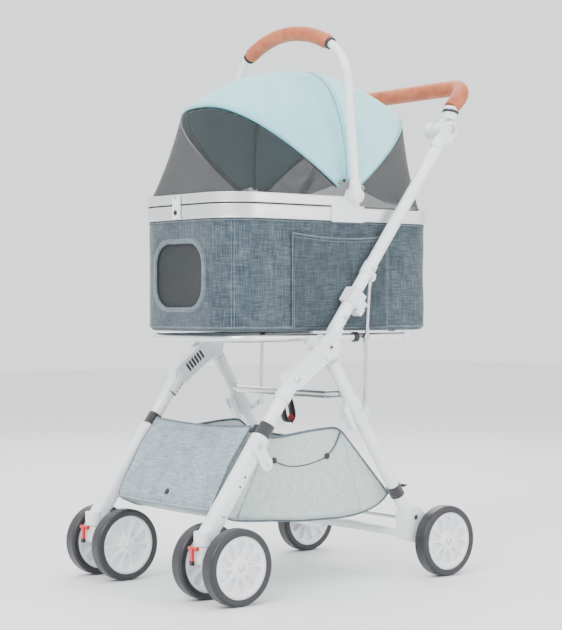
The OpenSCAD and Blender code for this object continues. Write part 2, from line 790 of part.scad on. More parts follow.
cam_pivot = collar_at - push_up * 24 + push_dir * 8;
module collar_lever(side) {
    low = cam_pivot - push_dir * 28;
    color("white") on_side(side) {
        difference() {
            side_bar(side_x - 11, side_x + 13, cam_pivot, low, 6.8);
            xdisc(side_x - 12, side_x + 14, cam_pivot, 2);
            translate([side_x + 6, cam_pivot[0] - 3, cam_pivot[1] - 14]) cube([10, 4, 8]);
        }
        color("silver") xdisc(side_x - 10, side_x + 12, cam_pivot, 1.9);
    }
}

module upper_links() {
    up = unit(brace_top - knee);
    color("silver") both() {
        brace_eye_pair(upper_eye, knee, knee + up * 17);
        brace_eye_pair(upper_eye, brace_top, brace_top - up * 17);
        rod([brace_x, knee[0] + up[0] * 16, knee[1] + up[1] * 16],
            [brace_x, brace_top[0] - up[0] * 16, brace_top[1] - up[1] * 16], brace_d / 2);
    }
}

fork_r = 17;
module handle_forks() {
    top = handle_pivot;
    start = hub + push_dir * (push_len - 25.9);
    low = hub + push_dir * (push_len - 52);
    cap = start + push_dir * 4;
    color("white") both() difference() {
        union() {
            xdisc(side_x + 0.4, side_x + 13, top, fork_r);
            side_bar(side_x + 0.4, side_x + 13, top, start, fork_r - 3);
            rod([side_x, low[0], low[1]], [side_x, cap[0], cap[1]], tube_d / 2 + 1.4);
        }
        rod([side_x, low[0] - push_dir[0], low[1] - push_dir[1]],
            [side_x, start[0], start[1]], tube_d / 2 - 0.98);
        // Room for the handle's knuckle
        xdisc(side_x - 20, side_x + 0.4, top, fork_r + 1);
        xdisc(side_x - 1, side_x + 14, top, 4 + fit);
    }
}

// ---------- push handle ----------
stem_lean = 76;     // slope of the short stems, from level
grip_lean = 43;     // slope of the plane the grip is bent in
stem_len = 47;
stem_r = 14.5;
grip_bend = 52;
button_r = 12.8;
stem_top = handle_pivot + stem_len * [cos(stem_lean), sin(stem_lean)];

// Leaning frame of a side-view place, with Z up along the slope
module lean_frame(place, slope) {
    xyz(0, place) rotate([slope - 90, 0, 0]) children();
}

module handle_stem(r, from, to) {
    lean_frame(handle_pivot, stem_lean) translate([side_x, 0, from]) cylinder(h = to - from, r = r);
}

module handle_tube() {
    both() color("white") {
        difference() {
            union() {
                xdisc(side_x - 13, side_x, handle_pivot, fork_r - 1);
                // Ring that guides the release button
                xdisc(side_x - 26, side_x - 12.9, handle_pivot, fork_r - 1);
                lean_frame(handle_pivot, stem_lean)
                    translate([side_x - 13, -12, 0]) cube([13, 24, 21]);
            }
            xdisc(side_x - 27, side_x - 13, handle_pivot, button_r + 0.2);
            xdisc(side_x - 14, side_x + 1, handle_pivot, 4 + fit);
        }
        handle_stem(stem_r, 21.05, stem_len);
    }
    // Steel pins of the two hinges
    both() color("silver") xdisc(side_x - 12, side_x + 13.5, handle_pivot, 4);
}

module handle_grip() {
    r = grip_d / 2;
    color([0.85, 0.4, 0.22]) difference() {
        lean_frame(stem_top, grip_lean) {
            both() {
                translate([side_x, 0, -4]) cylinder(h = grip_reach - grip_bend + 4, r = r);
                translate([side_x - grip_bend, 0, grip_reach - grip_bend]) rotate([90, 0, 0])
                    rotate_extrude(angle = 90) translate([grip_bend, 0]) circle(r = r);
            }
            translate([grip_bend - side_x, 0, grip_reach]) rotate([0, 90, 0])
                cylinder(h = 2 * (side_x - grip_bend), r = r);
        }
        both() handle_stem(stem_r + 0.05, 0, stem_len + 0.05);
    }
}

module hinge_button(side) {
    color("white") on_side(side) difference() {
        union() {
            xdisc(side_x - 50, side_x - 32, handle_pivot, 17);
            xdisc(side_x - 32.1, side_x - 20, handle_pivot, button_r);
        }
        xdisc(side_x - 46, side_x - 19, handle_pivot, button_r - 2.5);
    }
}

// ---------- carrier ----------
module front_window() {
    hw = window_w / 2;
    hh = window_h / 2;
    r = window_r;
    translate([0, 0, window_z]) rotate([90, 0, 0]) linear_extrude(height = 200) {
        translate([-hw + r, -hh]) square([2 * (hw - r), 2 * hh]);
        translate([-hw, -hh + r]) square([2 * hw, 2 * (hh - r)]);
        for (x = [-1, 1]) for (z = [-1, 1])
            translate([x * (hw - r), z * (hh - r)]) circle(r = r);
    }
}

module carrier_body() {
    color([0.45, 0.55, 0.62]) difference() {
        translate([0, 0, body_z]) linear_extrude(height = body_h - 0.05) plan_in(4);
        translate([0, 0, body_z + body_wall]) linear_extrude(height = body_h)
            plan_in(4 + body_wall);
        translate([0, carrier_front + 60, 0]) front_window();
    }
}

module carrier_floor() {
    color([0.3, 0.33, 0.36])
        translate([0, 0, body_z + body_wall + 0.1]) linear_extrude(height = 12)
            plan_in(4 + body_wall + 0.6);
}

module carrier_rim() {
    color("silver") difference() {
        translate([0, 0, rim_z]) linear_extrude(height = rim_h) plan_in(0);
        translate([0, 0, rim_z - 1]) linear_extrude(height = rim_h + 2) plan_in(rim_t + 4);
    }
}

clamp_t = 5;
module rim_clamps() {
    x0 = carrier_x + air;
    x1 = x0 + clamp_t;
    y0 = tilt_pivot[0] - 50;
    y1 = tilt_pivot[0] + 30;
    color("white") both() difference() {
        union() {
            translate([x0, y0, rim_z - 2]) cube([clamp_t, y1 - y0, rim_h + 5]);
            side_plate(x0, x1, [[y0 + 18, rim_top + 2], [y1 - 12, rim_top + 2],
                tilt_pivot + [14, 4], tilt_pivot + [-16, 2]]);
            xdisc(x0, x1, tilt_pivot, 16);
            // Lip under the rim
            translate([x0 - 14, y0 + 4, rim_z - 2.6]) cube([15, y1 - y0 - 8, 2.5]);
        }
        translate([x0 - 20, y0 - 1, body_z]) cube([20 - 4.2, y1 - y0 + 2, body_h]);
    }
    // Pins that the lid and the carry handle turn on
    color("silver") both() xdisc(carrier_x - 7, x0 + 16, tilt_pivot, 3.5);
}

module window_mesh() {
    color([0.15, 0.16, 0.17]) intersection() {
        translate([0, 0, body_z + 6]) linear_extrude(height = body_h - 12) difference() {
            plan_in(4 + 1.5);
            plan_in(4 + 2.7);
        }
        translate([0, carrier_front + 60, 0]) scale([0.999, 1, 0.9999]) front_window();
    }
}

module rear_mesh() {
    color([0.2, 0.2, 0.21])
        cloth(inset(rear_curve, 0.3) + [2, 0, 0, 0], rim_curve, 0, cloth_t, straight = true);
}

module canopy_rear() {
    color([0.7, 0.9, 0.9])
        cloth(mid_curve + [1, 0, 0, 0], rear_curve + [1, 0, 0, 0], 14, cloth_t);
}

module canopy_front() {
    color([0.7, 0.9, 0.9])
        cloth(front_curve + [0.5, 0, 0, 0], mid_curve, 10, cloth_t);
}

module rear_bows() {
    color([0.2, 0.45, 0.45]) {
        bow_wire(inset(mid_curve, cloth_t + bow_r + 1) - [1, 0, 0, 0], bow_r);
        bow_wire(inset(rear_curve, cloth_t + bow_r + 5.4) - [1, 0, 0, 0], bow_r);
    }
}

// ---------- lid ----------
module lid_rim() {
    back = tilt_pivot[0] - 6;
    color("silver") {
        difference() {
            translate([0, 0, lid_z]) linear_extrude(height = lid_h) plan_in(0);
            translate([0, 0, lid_z - 1]) linear_extrude(height = lid_h + 2) plan_in(lid_t);
            translate([-carrier_x - 1, back, lid_z - 1])
                cube([2 * carrier_x + 2, carrier_rear, lid_h + 2]);
        }
    }
    color("white") both() difference() {
        union() {
            xdisc(carrier_x - lid_t, carrier_x, tilt_pivot, 10);
            side_plate(carrier_x - lid_t, carrier_x, [[back - 0.02, lid_z + 3],
                [back + 6, lid_z + 12], [back + 6, lid_z + lid_h], [back - 0.02, lid_z + lid_h]]);
        }
        xdisc(carrier_x - lid_t - 1, carrier_x + 1, tilt_pivot, 3.5 + fit);
    }
}

module front_mesh() {
    color([0.2, 0.2, 0.21])
        cloth(lid_curve, inset(front_curve, 0.3) - [1, 0, 0, 0], 0, cloth_t, straight = true);
}

module front_bow() {
    color([0.2, 0.45, 0.45])
        bow_wire(inset(front_curve, cloth_t + bow_r + 3.6) + [1.5, 0, 0, 0], bow_r);
}

latch_pivot = [carrier_front - 3, lid_z + lid_h - 4];
module latch() {
    color("white") difference() {
        union() {
            translate([-11, carrier_front - 5.3, rim_z + 1])
                cube([22, 4, latch_pivot[1] + 2 - rim_z - 1]);
            xdisc(-11, 11, latch_pivot, 2.4);
        }
        translate([0, carrier_front, rim_z + 13]) rotate([90, 0, 0]) cylinder(h = 12, r = 5);
    }
    color([0.08, 0.08, 0.09]) translate([0, carrier_front - 1.4, rim_z + 13]) rotate([90, 0, 0])
        difference() {
            cylinder(h = 5.5, r = 4.9);
            translate([0, 0, 1]) cylinder(h = 9, r = 2);
        }
    color("silver") translate([0, carrier_front - 5.32, lid_z + 12]) rotate([90, 0, 0])
        cylinder(h = 1.2, r = 3.5);
}

// ---------- carry handle ----------
carry_lean = 5;
carry_x = carrier_x + air + clamp_t + air + 0.2 + carry_d / 2;
corner_r = 92;
corner_a = 62;
crown_a = 90 - corner_a;
crown_r = (carry_x - corner_r * (1 - cos(corner_a))) / sin(crown_a);
carry_leg = carry_h - crown_r * (1 - cos(crown_a)) - corner_r * sin(corner_a);
hub_seat = 13;      // height at which the tube stands in its hub

function corner_pt(a) =
    [carry_x - corner_r * (1 - cos(a)), 0, carry_leg + corner_r * sin(a)];
function crown_pt(a) = [crown_r * sin(a), 0, carry_h - crown_r * (1 - cos(a))];
function flip_x(p) = [-p[0], p[1], p[2]];
carry_corner_pts = concat([[carry_x, 0, hub_seat + 0.1]],
    [for (i = [0 : 7]) corner_pt(corner_a * i / 7)]);
carry_path = concat(
    carry_corner_pts,
    [for (i = [-5 : 5]) crown_pt(-crown_a * i / 6)],
    [for (i = [len(carry_corner_pts) - 1 : -1 : 0]) flip_x(carry_corner_pts[i])]
);

// Everything of the carry handle stands on the pivot and leans forward
module carry_frame() {
    xyz(0, tilt_pivot) rotate([carry_lean, 0, 0]) children();
}

// Arc over the top of the carry handle, with the profile given as a child
module crown() {
    translate([0, 0, carry_h - crown_r]) rotate([90, 0, 0])
        rotate([0, 0, 90 - crown_a])
            rotate_extrude(angle = 2 * crown_a) translate([crown_r, 0]) children();
}

module carry_handle() {
    r = carry_d / 2;
    color("white") carry_frame() {
        // Hubs on the pivots, with a socket for the tube
        both() difference() {
            union() {
                xdisc(carry_x - r - 0.2, carry_x + r + 0.2, [0, 0], 15);
                translate([carry_x, 0, 4]) cylinder(h = 26, r = r + 1.6);
            }
            translate([carry_x, 0, hub_seat]) cylinder(h = 30, r = r + 0.03);
            xdisc(carry_x - r - 2, carry_x + 3, [0, 0], 3.5 + fit);
            translate([carry_x - r - 20.2, -20, -20]) cube([20, 40, 60]);
        }
        bent_bar(carry_path, [0, 1, 0], r, 16);
    }
    // Round release buttons on the pivots
    color("silver") both() xdisc(carry_x + r + 2, carry_x + r + 4.5, tilt_pivot, 10);
    color("white") both() xdisc(carry_x + r + 0.22, carry_x + r + 1.98, tilt_pivot, 13);
}

// Wrapped grip along the crown
module carry_grip() {
    r = carry_d / 2;
    color([0.85, 0.4, 0.22]) carry_frame() crown() difference() {
        circle(r = r + 7);
        circle(r = r + 0.35);
    }
}

// ---------- build ----------
twin = twin_gap / 2;

front_elbows();
front_legs();
leg_sheaths();
frame_caps();
support_rail();
rail_fittings();
front_straps();
basket_front();
basket_mesh();
caster(left);  // caster_left
caster(right);  // caster_right
swivel_lock(left);  // swivel_lock_left
swivel_lock(right);  // swivel_lock_right
rim_at(side_x + twin, front_axle);  // rim_front_left_outer
rim_at(side_x - twin, front_axle);  // rim_front_left_inner
rim_at(-side_x + twin, front_axle);  // rim_front_right_inner
rim_at(-side_x - twin, front_axle);  // rim_front_right_outer
rim_at(rear_track / 2, rear_axle);  // rim_rear_left
rim_at(-rear_track / 2, rear_axle);  // rim_rear_right
tyre_at(side_x + twin, front_axle);  // tyre_front_left_outer
tyre_at(side_x - twin, front_axle);  // tyre_front_left_inner
tyre_at(-side_x + twin, front_axle);  // tyre_front_right_inner
tyre_at(-side_x - twin, front_axle);  // tyre_front_right_outer
tyre_at(rear_track / 2, rear_axle);  // tyre_rear_left
tyre_at(-rear_track / 2, rear_axle);  // tyre_rear_right
rear_legs();
rear_sleeves();
rear_crossbar();
rear_axle_bar();
wheel_brackets();
rear_straps();
brake_bar();
lower_links();
fold_levers();
push_arms();
push_tubes();
tube_clamps();
collar_lever(left);  // collar_lever_left
collar_lever(right);  // collar_lever_right
upper_links();
handle_forks();
handle_tube();
handle_grip();
hinge_button(left);  // hinge_button_left
hinge_button(right);  // hinge_button_right
carrier_body();
carrier_floor();
carrier_rim();
rim_clamps();
window_mesh();
rear_mesh();
canopy_rear();
rear_bows();
canopy_front();
lid_rim();
front_mesh();
front_bow();
latch();
carry_handle();
carry_grip();
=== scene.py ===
"""Looks of the folding pet stroller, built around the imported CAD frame. Metres; +Z up, front faces -Y."""
import math
import random

import bmesh
import bpy
import numpy as np
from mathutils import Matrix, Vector


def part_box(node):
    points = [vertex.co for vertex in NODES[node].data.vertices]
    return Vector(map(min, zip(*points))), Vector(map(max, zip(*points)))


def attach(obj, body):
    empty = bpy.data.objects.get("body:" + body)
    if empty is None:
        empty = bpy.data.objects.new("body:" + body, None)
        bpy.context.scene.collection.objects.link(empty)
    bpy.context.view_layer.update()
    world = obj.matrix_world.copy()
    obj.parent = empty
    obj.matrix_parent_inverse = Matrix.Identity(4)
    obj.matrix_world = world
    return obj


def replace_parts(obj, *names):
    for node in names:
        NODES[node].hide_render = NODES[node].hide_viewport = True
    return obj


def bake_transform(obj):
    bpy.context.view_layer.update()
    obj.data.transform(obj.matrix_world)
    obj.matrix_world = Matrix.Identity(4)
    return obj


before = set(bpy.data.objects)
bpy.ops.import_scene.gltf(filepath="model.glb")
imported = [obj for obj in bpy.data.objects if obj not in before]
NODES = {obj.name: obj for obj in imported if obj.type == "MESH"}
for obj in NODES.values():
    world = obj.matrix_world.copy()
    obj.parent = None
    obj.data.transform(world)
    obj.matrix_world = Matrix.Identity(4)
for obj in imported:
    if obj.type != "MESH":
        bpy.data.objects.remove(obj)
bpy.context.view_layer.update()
random.seed(7)

# ---------- places repeated from the CAD source, in metres ----------
SIDE_X = 0.183
HUB = np.array([-0.045, 0.460])
SLOPE = math.radians(53.2)
PUSH_DIR = np.array([math.cos(SLOPE), math.sin(SLOPE)])
PUSH_UP = np.array([-PUSH_DIR[1], PUSH_DIR[0]])
FRONT_AXLE = (-0.289, 0.070)
REAR_AXLE = (0.239, 0.070)
LEG_FOOT = np.array([-0.331, 0.112])
ELBOW = np.array([-0.124, 0.400])
LEG_DIR = (ELBOW - LEG_FOOT) / np.linalg.norm(ELBOW - LEG_FOOT)
SHEATH = 0.6 * np.linalg.norm(ELBOW - LEG_FOOT)
REAR_FOOT = np.array([0.172, 0.122])
REAR_DIR = (REAR_FOOT - HUB) / np.linalg.norm(REAR_FOOT - HUB)
TILT = np.array([0.041, 0.752])
HANDLE = HUB + PUSH_DIR * 0.543
CAR_W, CAR_Y0, CAR_Y1 = 0.161, -0.257, 0.266
FRONT_R, REAR_R = 0.084, 0.044
RIM_Z, BODY_Z = 0.703, 0.489
BASKET_X = 0.158


# ---------- mesh helpers ----------
def add(name, verts, faces, material, body, smooth=True, slot=None, shade_angle=None):
    """New piece from vertices and faces, riding on a body."""
    mesh = bpy.data.meshes.new(name)
    mesh.from_pydata([tuple(float(c) for c in v) for v in verts], [], faces)
    mesh.validate()
    bm = bmesh.new()
    bm.from_mesh(mesh)
    bmesh.ops.recalc_face_normals(bm, faces=bm.faces)
    bm.to_mesh(mesh)
    bm.free()
    obj = bpy.data.objects.new(name, mesh)
    bpy.context.scene.collection.objects.link(obj)
    if smooth:
        mesh.polygons.foreach_set("use_smooth", [True] * len(mesh.polygons))
    if shade_angle:
        mesh.set_sharp_from_angle(angle=math.radians(shade_angle))
    mesh.materials.append(material)
    if body:
        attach(obj, body)
    return obj


def grid_faces(rows, cols, wrap_rows=False, wrap_cols=False, offset=0):
    faces = []
    for j in range(rows if wrap_rows else rows - 1):
        for i in range(cols if wrap_cols else cols - 1):
            a, b = j, (j + 1) % rows
            c, d = i, (i + 1) % cols
            faces.append([offset + a * cols + c, offset + a * cols + d, offset + b * cols + d,
                          offset + b * cols + c])
    return faces


def apply_all(obj):
    """Bakes the modifiers of obj into its mesh."""
    bpy.context.view_layer.update()
    graph = bpy.context.evaluated_depsgraph_get()
    mesh = bpy.data.meshes.new_from_object(obj.evaluated_get(graph))
    obj.modifiers.clear()
    obj.data = mesh
    return obj


def thicken(obj, thick, offset=-1.0, levels=0):
    mod = obj.modifiers.new("thick", "SOLIDIFY")
    mod.thickness = thick
    mod.offset = offset
    if levels:
        sub = obj.modifiers.new("smooth", "SUBSURF")
        sub.levels = sub.render_levels = levels
    return apply_all(obj)


def frames_along(path, closed):
    """Tangent, side and up vectors along a path, carried without twist."""
    n = len(path)
    tangents = []
    for i in range(n):
        a = path[(i - 1) % n] if closed or i else path[0]
        b = path[(i + 1) % n] if closed or i < n - 1 else path[-1]
        t = np.array(b) - np.array(a)
        tangents.append(t / (np.linalg.norm(t) + 1e-12))
    ref = np.array([1.0, 0, 0]) if abs(tangents[0][0]) < 0.9 else np.array([0, 1.0, 0])
    side = np.cross(tangents[0], ref)
    side /= np.linalg.norm(side)
    out = []
    for t in tangents:
        side = side - t * np.dot(side, t)
        side /= np.linalg.norm(side) + 1e-12
        out.append((t, side, np.cross(t, side)))
    return out


def tube_data(path, radius, sides=10, closed=False, flat=1.0, radii=None):
    """Vertices and faces of a round (or flattened) tube along a path."""
    path = [np.array(p, float) for p in path]
    verts = []
    for i, (p, (t, s, u)) in enumerate(zip(path, frames_along(path, closed))):
        r = radii[i] if radii is not None else radius
        for k in range(sides):
            a = 2 * math.pi * k / sides
            verts.append(p + s * math.cos(a) * r + u * math.sin(a) * r * flat)
    faces = grid_faces(len(path), sides, wrap_rows=closed, wrap_cols=True)
    if not closed:
        faces.append(list(range(sides))[::-1])
        faces.append([(len(path) - 1) * sides + k for k in range(sides)])
    return verts, faces


def tube(name, path, radius, material, body, sides=10, closed=False, slot=None, radii=None):
    verts, faces = tube_data(path, radius, sides, closed, radii=radii)
    return add(name, verts, faces, material, body, slot=slot, shade_angle=50)


def many(name, parts, material, body, slot=None, shade_angle=50):
    """One piece from several (vertices, faces) parts."""
    verts, faces = [], []
    for v, f in parts:
        k = len(verts)
        verts += list(v)
        faces += [[i + k for i in face] for face in f]
    return add(name, verts, faces, material, body, slot=slot, shade_angle=shade_angle)


SLAB_FACES = [[0, 1, 2, 3], [4, 5, 6, 7], [0, 1, 5, 4], [1, 2, 6, 5], [2, 3, 7, 6], [3, 0, 4, 7]]


def resample(path, step, closed=False):
    """Points at an even step along a path."""
    pts = [np.array(p, float) for p in path]
    if closed:
        pts.append(pts[0])
    seg = [np.linalg.norm(pts[i + 1] - pts[i]) for i in range(len(pts) - 1)]
    total = sum(seg)
    count = max(2, int(round(total / step)))
    cum = np.concatenate([[0], np.cumsum(seg)])
    want = np.linspace(0, total, count + 1)
    arr = np.array(pts)
    out = np.stack([np.interp(want, cum, arr[:, k]) for k in range(3)], 1)
    return list(out[:-1]) if closed else list(out)


def smooth_path(points, per=8, closed=False):
    """Catmull-Rom curve through points."""
    p = [np.array(q, float) for q in points]
    n = len(p)
    out = []
    for i in range(n if closed else n - 1):
        p0 = p[(i - 1) % n] if closed or i else p[0]
        p1, p2 = p[i], p[(i + 1) % n]
        p3 = p[(i + 2) % n] if closed or i < n - 2 else p[-1]
        for k in range(per):
            t = k / per
            out.append(0.5 * ((2 * p1) + (p2 - p0) * t + (2 * p0 - 5 * p1 + 4 * p2 - p3) * t * t
                              + (3 * p1 - p0 - 3 * p2 + p3) * t ** 3))
    if not closed:
        out.append(p[-1])
    return out


def stitch_parts(path, length=0.0032, gap=0.0018, r=0.0004, closed=False):
    """Short thread stitches lying along a path."""
    pts = resample(path, 0.001, closed)
    step = int(round((length + gap) * 1000))
    run = int(round(length * 1000))
    parts = []
    for i in range(0, len(pts) - run, step):
        parts.append(tube_data([pts[i], pts[i + run // 2], pts[i + run]], r, 5,
                               radii=[r * 0.5, r, r * 0.5]))
    return parts


def lathe_data(profile, centre, axis, sides=32):
    """Solid of revolution: profile of (radius, distance along axis) from centre."""
    axis = np.array(axis, float)
    axis /= np.linalg.norm(axis)
    ref = np.array([0, 0, 1.0]) if abs(axis[2]) < 0.9 else np.array([1.0, 0, 0])
    s = np.cross(axis, ref)
    s /= np.linalg.norm(s)
    u = np.cross(axis, s)
    verts = []
    for r, h in profile:
        for k in range(sides):
            a = 2 * math.pi * k / sides
            verts.append(np.array(centre) + axis * h + (s * math.cos(a) + u * math.sin(a)) * max(r, 1e-5))
    faces = grid_faces(len(profile), sides, wrap_cols=True)
    faces.append(list(range(sides))[::-1])
    faces.append([(len(profile) - 1) * sides + k for k in range(sides)])
    return verts, faces


def at(x, place, d=0.0, e=0.0):
    """Point at x and a side-view place."""
    return np.array([x, place[0] + d, place[1] + e])


# ---------- materials ----------
class Paint:
    """Node builder for one procedural material."""

    def __init__(self, name):
        self.m = bpy.data.materials.new(name)
        self.m.use_nodes = True
        self.t = self.m.node_tree
        self.t.nodes.clear()
        self.out = self.t.nodes.new("ShaderNodeOutputMaterial")
        self.bsdf = self.t.nodes.new("ShaderNodeBsdfPrincipled")
        self.t.links.new(self.bsdf.outputs[0], self.out.inputs[0])
        self.co = self.t.nodes.new("ShaderNodeTexCoord").outputs["Object"]

    def link(self, a, b):
        self.t.links.new(a, b)

    def set(self, **values):
        for key, v in values.items():
            socket = self.bsdf.inputs[key.replace("_", " ")]
            socket.default_value = (*v, 1.0) if isinstance(v, tuple) and len(v) == 3 else v
        return self

    def noise(self, scale, stretch=(1, 1, 1), detail=3.0, rough=0.55):
        m = self.t.nodes.new("ShaderNodeMapping")
        m.inputs["Scale"].default_value = stretch
        self.link(self.co, m.inputs["Vector"])
        n = self.t.nodes.new("ShaderNodeTexNoise")
        n.inputs["Scale"].default_value = scale
        n.inputs["Detail"].default_value = detail
        n.inputs["Roughness"].default_value = rough
        self.link(m.outputs[0], n.inputs["Vector"])
        return n.outputs["Fac"]

    def cells(self, scale, feature="F1", stretch=(1, 1, 1)):
        m = self.t.nodes.new("ShaderNodeMapping")
        m.inputs["Scale"].default_value = stretch
        self.link(self.co, m.inputs["Vector"])
        n = self.t.nodes.new("ShaderNodeTexVoronoi")
        n.feature = feature
        n.inputs["Scale"].default_value = scale
        self.link(m.outputs[0], n.inputs["Vector"])
        return n.outputs["Distance"]

    def math(self, op, a, b=None, c=None):
        n = self.t.nodes.new("ShaderNodeMath")
        n.operation = op
        for i, v in enumerate((a, b, c)):
            if v is None:
                continue
            if isinstance(v, (int, float)):
                n.inputs[i].default_value = v
            else:
                self.link(v, n.inputs[i])
        return n.outputs[0]

    def threads(self, direction, period):
        """Sine of the place along a direction, one wave per period."""
        n = self.t.nodes.new("ShaderNodeVectorMath")
        n.operation = "DOT_PRODUCT"
        k = 2 * math.pi / period
        self.link(self.co, n.inputs[0])
        n.inputs[1].default_value = tuple(k * c for c in direction)
        return self.math("SINE", n.outputs["Value"])

    def ramp(self, fac, stops):
        n = self.t.nodes.new("ShaderNodeValToRGB")
        el = n.color_ramp.elements
        while len(el) < len(stops):
            el.new(0.5)
        for e, (pos, c) in zip(el, stops):
            e.position = pos
            e.color = (*c, 1.0) if len(c) == 3 else c
        self.link(fac, n.inputs[0])
        return n.outputs[0]

    def color(self, socket):
        self.link(socket, self.bsdf.inputs["Base Color"])
        return self

    def rough(self, fac, lo, hi):
        n = self.t.nodes.new("ShaderNodeMapRange")
        n.inputs["To Min"].default_value = lo
        n.inputs["To Max"].default_value = hi
        self.link(fac, n.inputs["Value"])
        self.link(n.outputs[0], self.bsdf.inputs["Roughness"])
        return self

    def bump(self, height, strength, distance=0.001):
        n = self.t.nodes.new("ShaderNodeBump")
        n.inputs["Strength"].default_value = strength
        n.inputs["Distance"].default_value = distance
        self.link(height, n.inputs["Height"])
        last = self.bsdf.inputs["Normal"]
        if last.is_linked:
            self.link(last.links[0].from_socket, n.inputs["Normal"])
        self.link(n.outputs[0], last)
        return self

    def alpha(self, socket):
        self.link(socket, self.bsdf.inputs["Alpha"])
        return self


def plastic(name, c, rough=(0.32, 0.45), grain=900, bump=0.05, coat=0.0, wear=0.05, spec=0.5):
    p = Paint(name)
    n = p.noise(14, detail=4)
    dark = tuple(v * (1 - wear) for v in c)
    p.color(p.ramp(n, [(0.35, dark), (0.65, c)]))
    p.rough(p.noise(60), *rough)
    p.bump(p.noise(grain, detail=2), bump, 0.0004)
    p.set(Coat_Weight=coat, Coat_Roughness=0.12, Specular_IOR_Level=spec)
    return p.m


def metal(name, c, rough=(0.24, 0.38), stretch=(1, 1, 1), bump=0.03):
    p = Paint(name)
    n = p.noise(260, stretch, detail=5)
    p.color(p.ramp(n, [(0.3, tuple(v * 0.9 for v in c)), (0.7, c)]))
    p.rough(n, *rough)
    p.bump(n, bump, 0.0003)
    p.set(Metallic=1.0)
    return p.m


def denim(name, dark, mid, light, period=0.0022):
    """Heathered weave: fine threads with uneven dye in both directions."""
    p = Paint(name)
    warp = p.noise(1, (420, 420, 34), detail=3, rough=0.7)
    weft = p.noise(1, (40, 40, 560), detail=3, rough=0.7)
    fac = p.math("MULTIPLY_ADD", p.math("ADD", warp, weft), 0.5, 0.0)
    blotch = p.noise(30, detail=4)
    fac = p.math("MULTIPLY_ADD", blotch, 0.22, p.math("SUBTRACT", fac, 0.11))
    p.color(p.ramp(fac, [(0.36, dark), (0.5, mid), (0.64, light)]))
    h = p.math("MULTIPLY", p.threads((1, 1, 0), period), p.threads((0, 0.0, 1), period))
    p.bump(h, 0.35, 0.0006).bump(fac, 0.25, 0.001)
    p.set(Roughness=0.9, Sheen_Weight=0.25, Sheen_Roughness=0.5, Specular_IOR_Level=0.2)
    return p.m


def net(name, c, cover, period=0.0026, across=(1, 1, 0), along=(0, 0.25, 1), spread=0.5, rough=0.75):
    """Knitted mesh: threads of a colour with small see-through holes between them."""
    p = Paint(name)
    a, b = p.threads(across, period), p.threads(along, period)
    h = p.math("MULTIPLY", a, b)
    v = p.noise(120, detail=2)
    p.color(p.ramp(v, [(0.3, tuple(x * 0.8 for x in c)), (0.7, c)]))
    k = p.math("MULTIPLY_ADD", p.math("ABSOLUTE", h), spread, cover)
    p.alpha(p.math("MINIMUM", k, 1.0))
    p.bump(h, 0.3, 0.0005)
    p.set(Roughness=rough, Sheen_Weight=0.15)
    return p.m


def cloth(name, dark, light, period=0.0016, sheen=0.35, alpha=1.0, translucent=0.0, bump=0.15):
    p = Paint(name)
    n = p.noise(26, detail=5)
    p.color(p.ramp(n, [(0.3, dark), (0.7, light)]))
    h = p.math("MULTIPLY", p.threads((1, 0, 0.35), period), p.threads((0, 1, -0.8), period))
    p.bump(h, bump, 0.0004).bump(p.noise(45, (1, 1, 1.6), detail=3), 0.12, 0.004)
    p.set(Roughness=0.72, Sheen_Weight=sheen, Sheen_Roughness=0.4, Alpha=alpha,
          Transmission_Weight=translucent)
    return p.m


def leather(name, dark, mid, light):
    p = Paint(name)
    n = p.noise(34, detail=5)
    p.color(p.ramp(n, [(0.3, dark), (0.5, mid), (0.72, light)]))
    grain = p.cells(900)
    p.bump(grain, 0.35, 0.0006).bump(p.noise(300, detail=4), 0.2, 0.0008)
    p.rough(grain, 0.38, 0.6)
    p.set(Coat_Weight=0.1, Coat_Roughness=0.35)
    return p.m


def webbing(name, c, direction, period=0.0022):
    p = Paint(name)
    rib = p.threads(direction, period)
    p.color(p.ramp(p.math("MULTIPLY_ADD", rib, 0.5, 0.5), [(0.2, tuple(v * 0.55 for v in c)), (0.8, c)]))
    p.bump(rib, 0.5, 0.0006)
    p.set(Roughness=0.7, Sheen_Weight=0.3)
    return p.m


def rubber(name, c):
    p = Paint(name)
    n = p.noise(70, detail=5)
    p.color(p.ramp(n, [(0.3, tuple(v * 0.7 for v in c)), (0.75, c)]))
    p.rough(n, 0.3, 0.5)
    p.bump(p.noise(1400, detail=2), 0.12, 0.0003)
    p.set(Coat_Weight=0.15, Coat_Roughness=0.3)
    return p.m


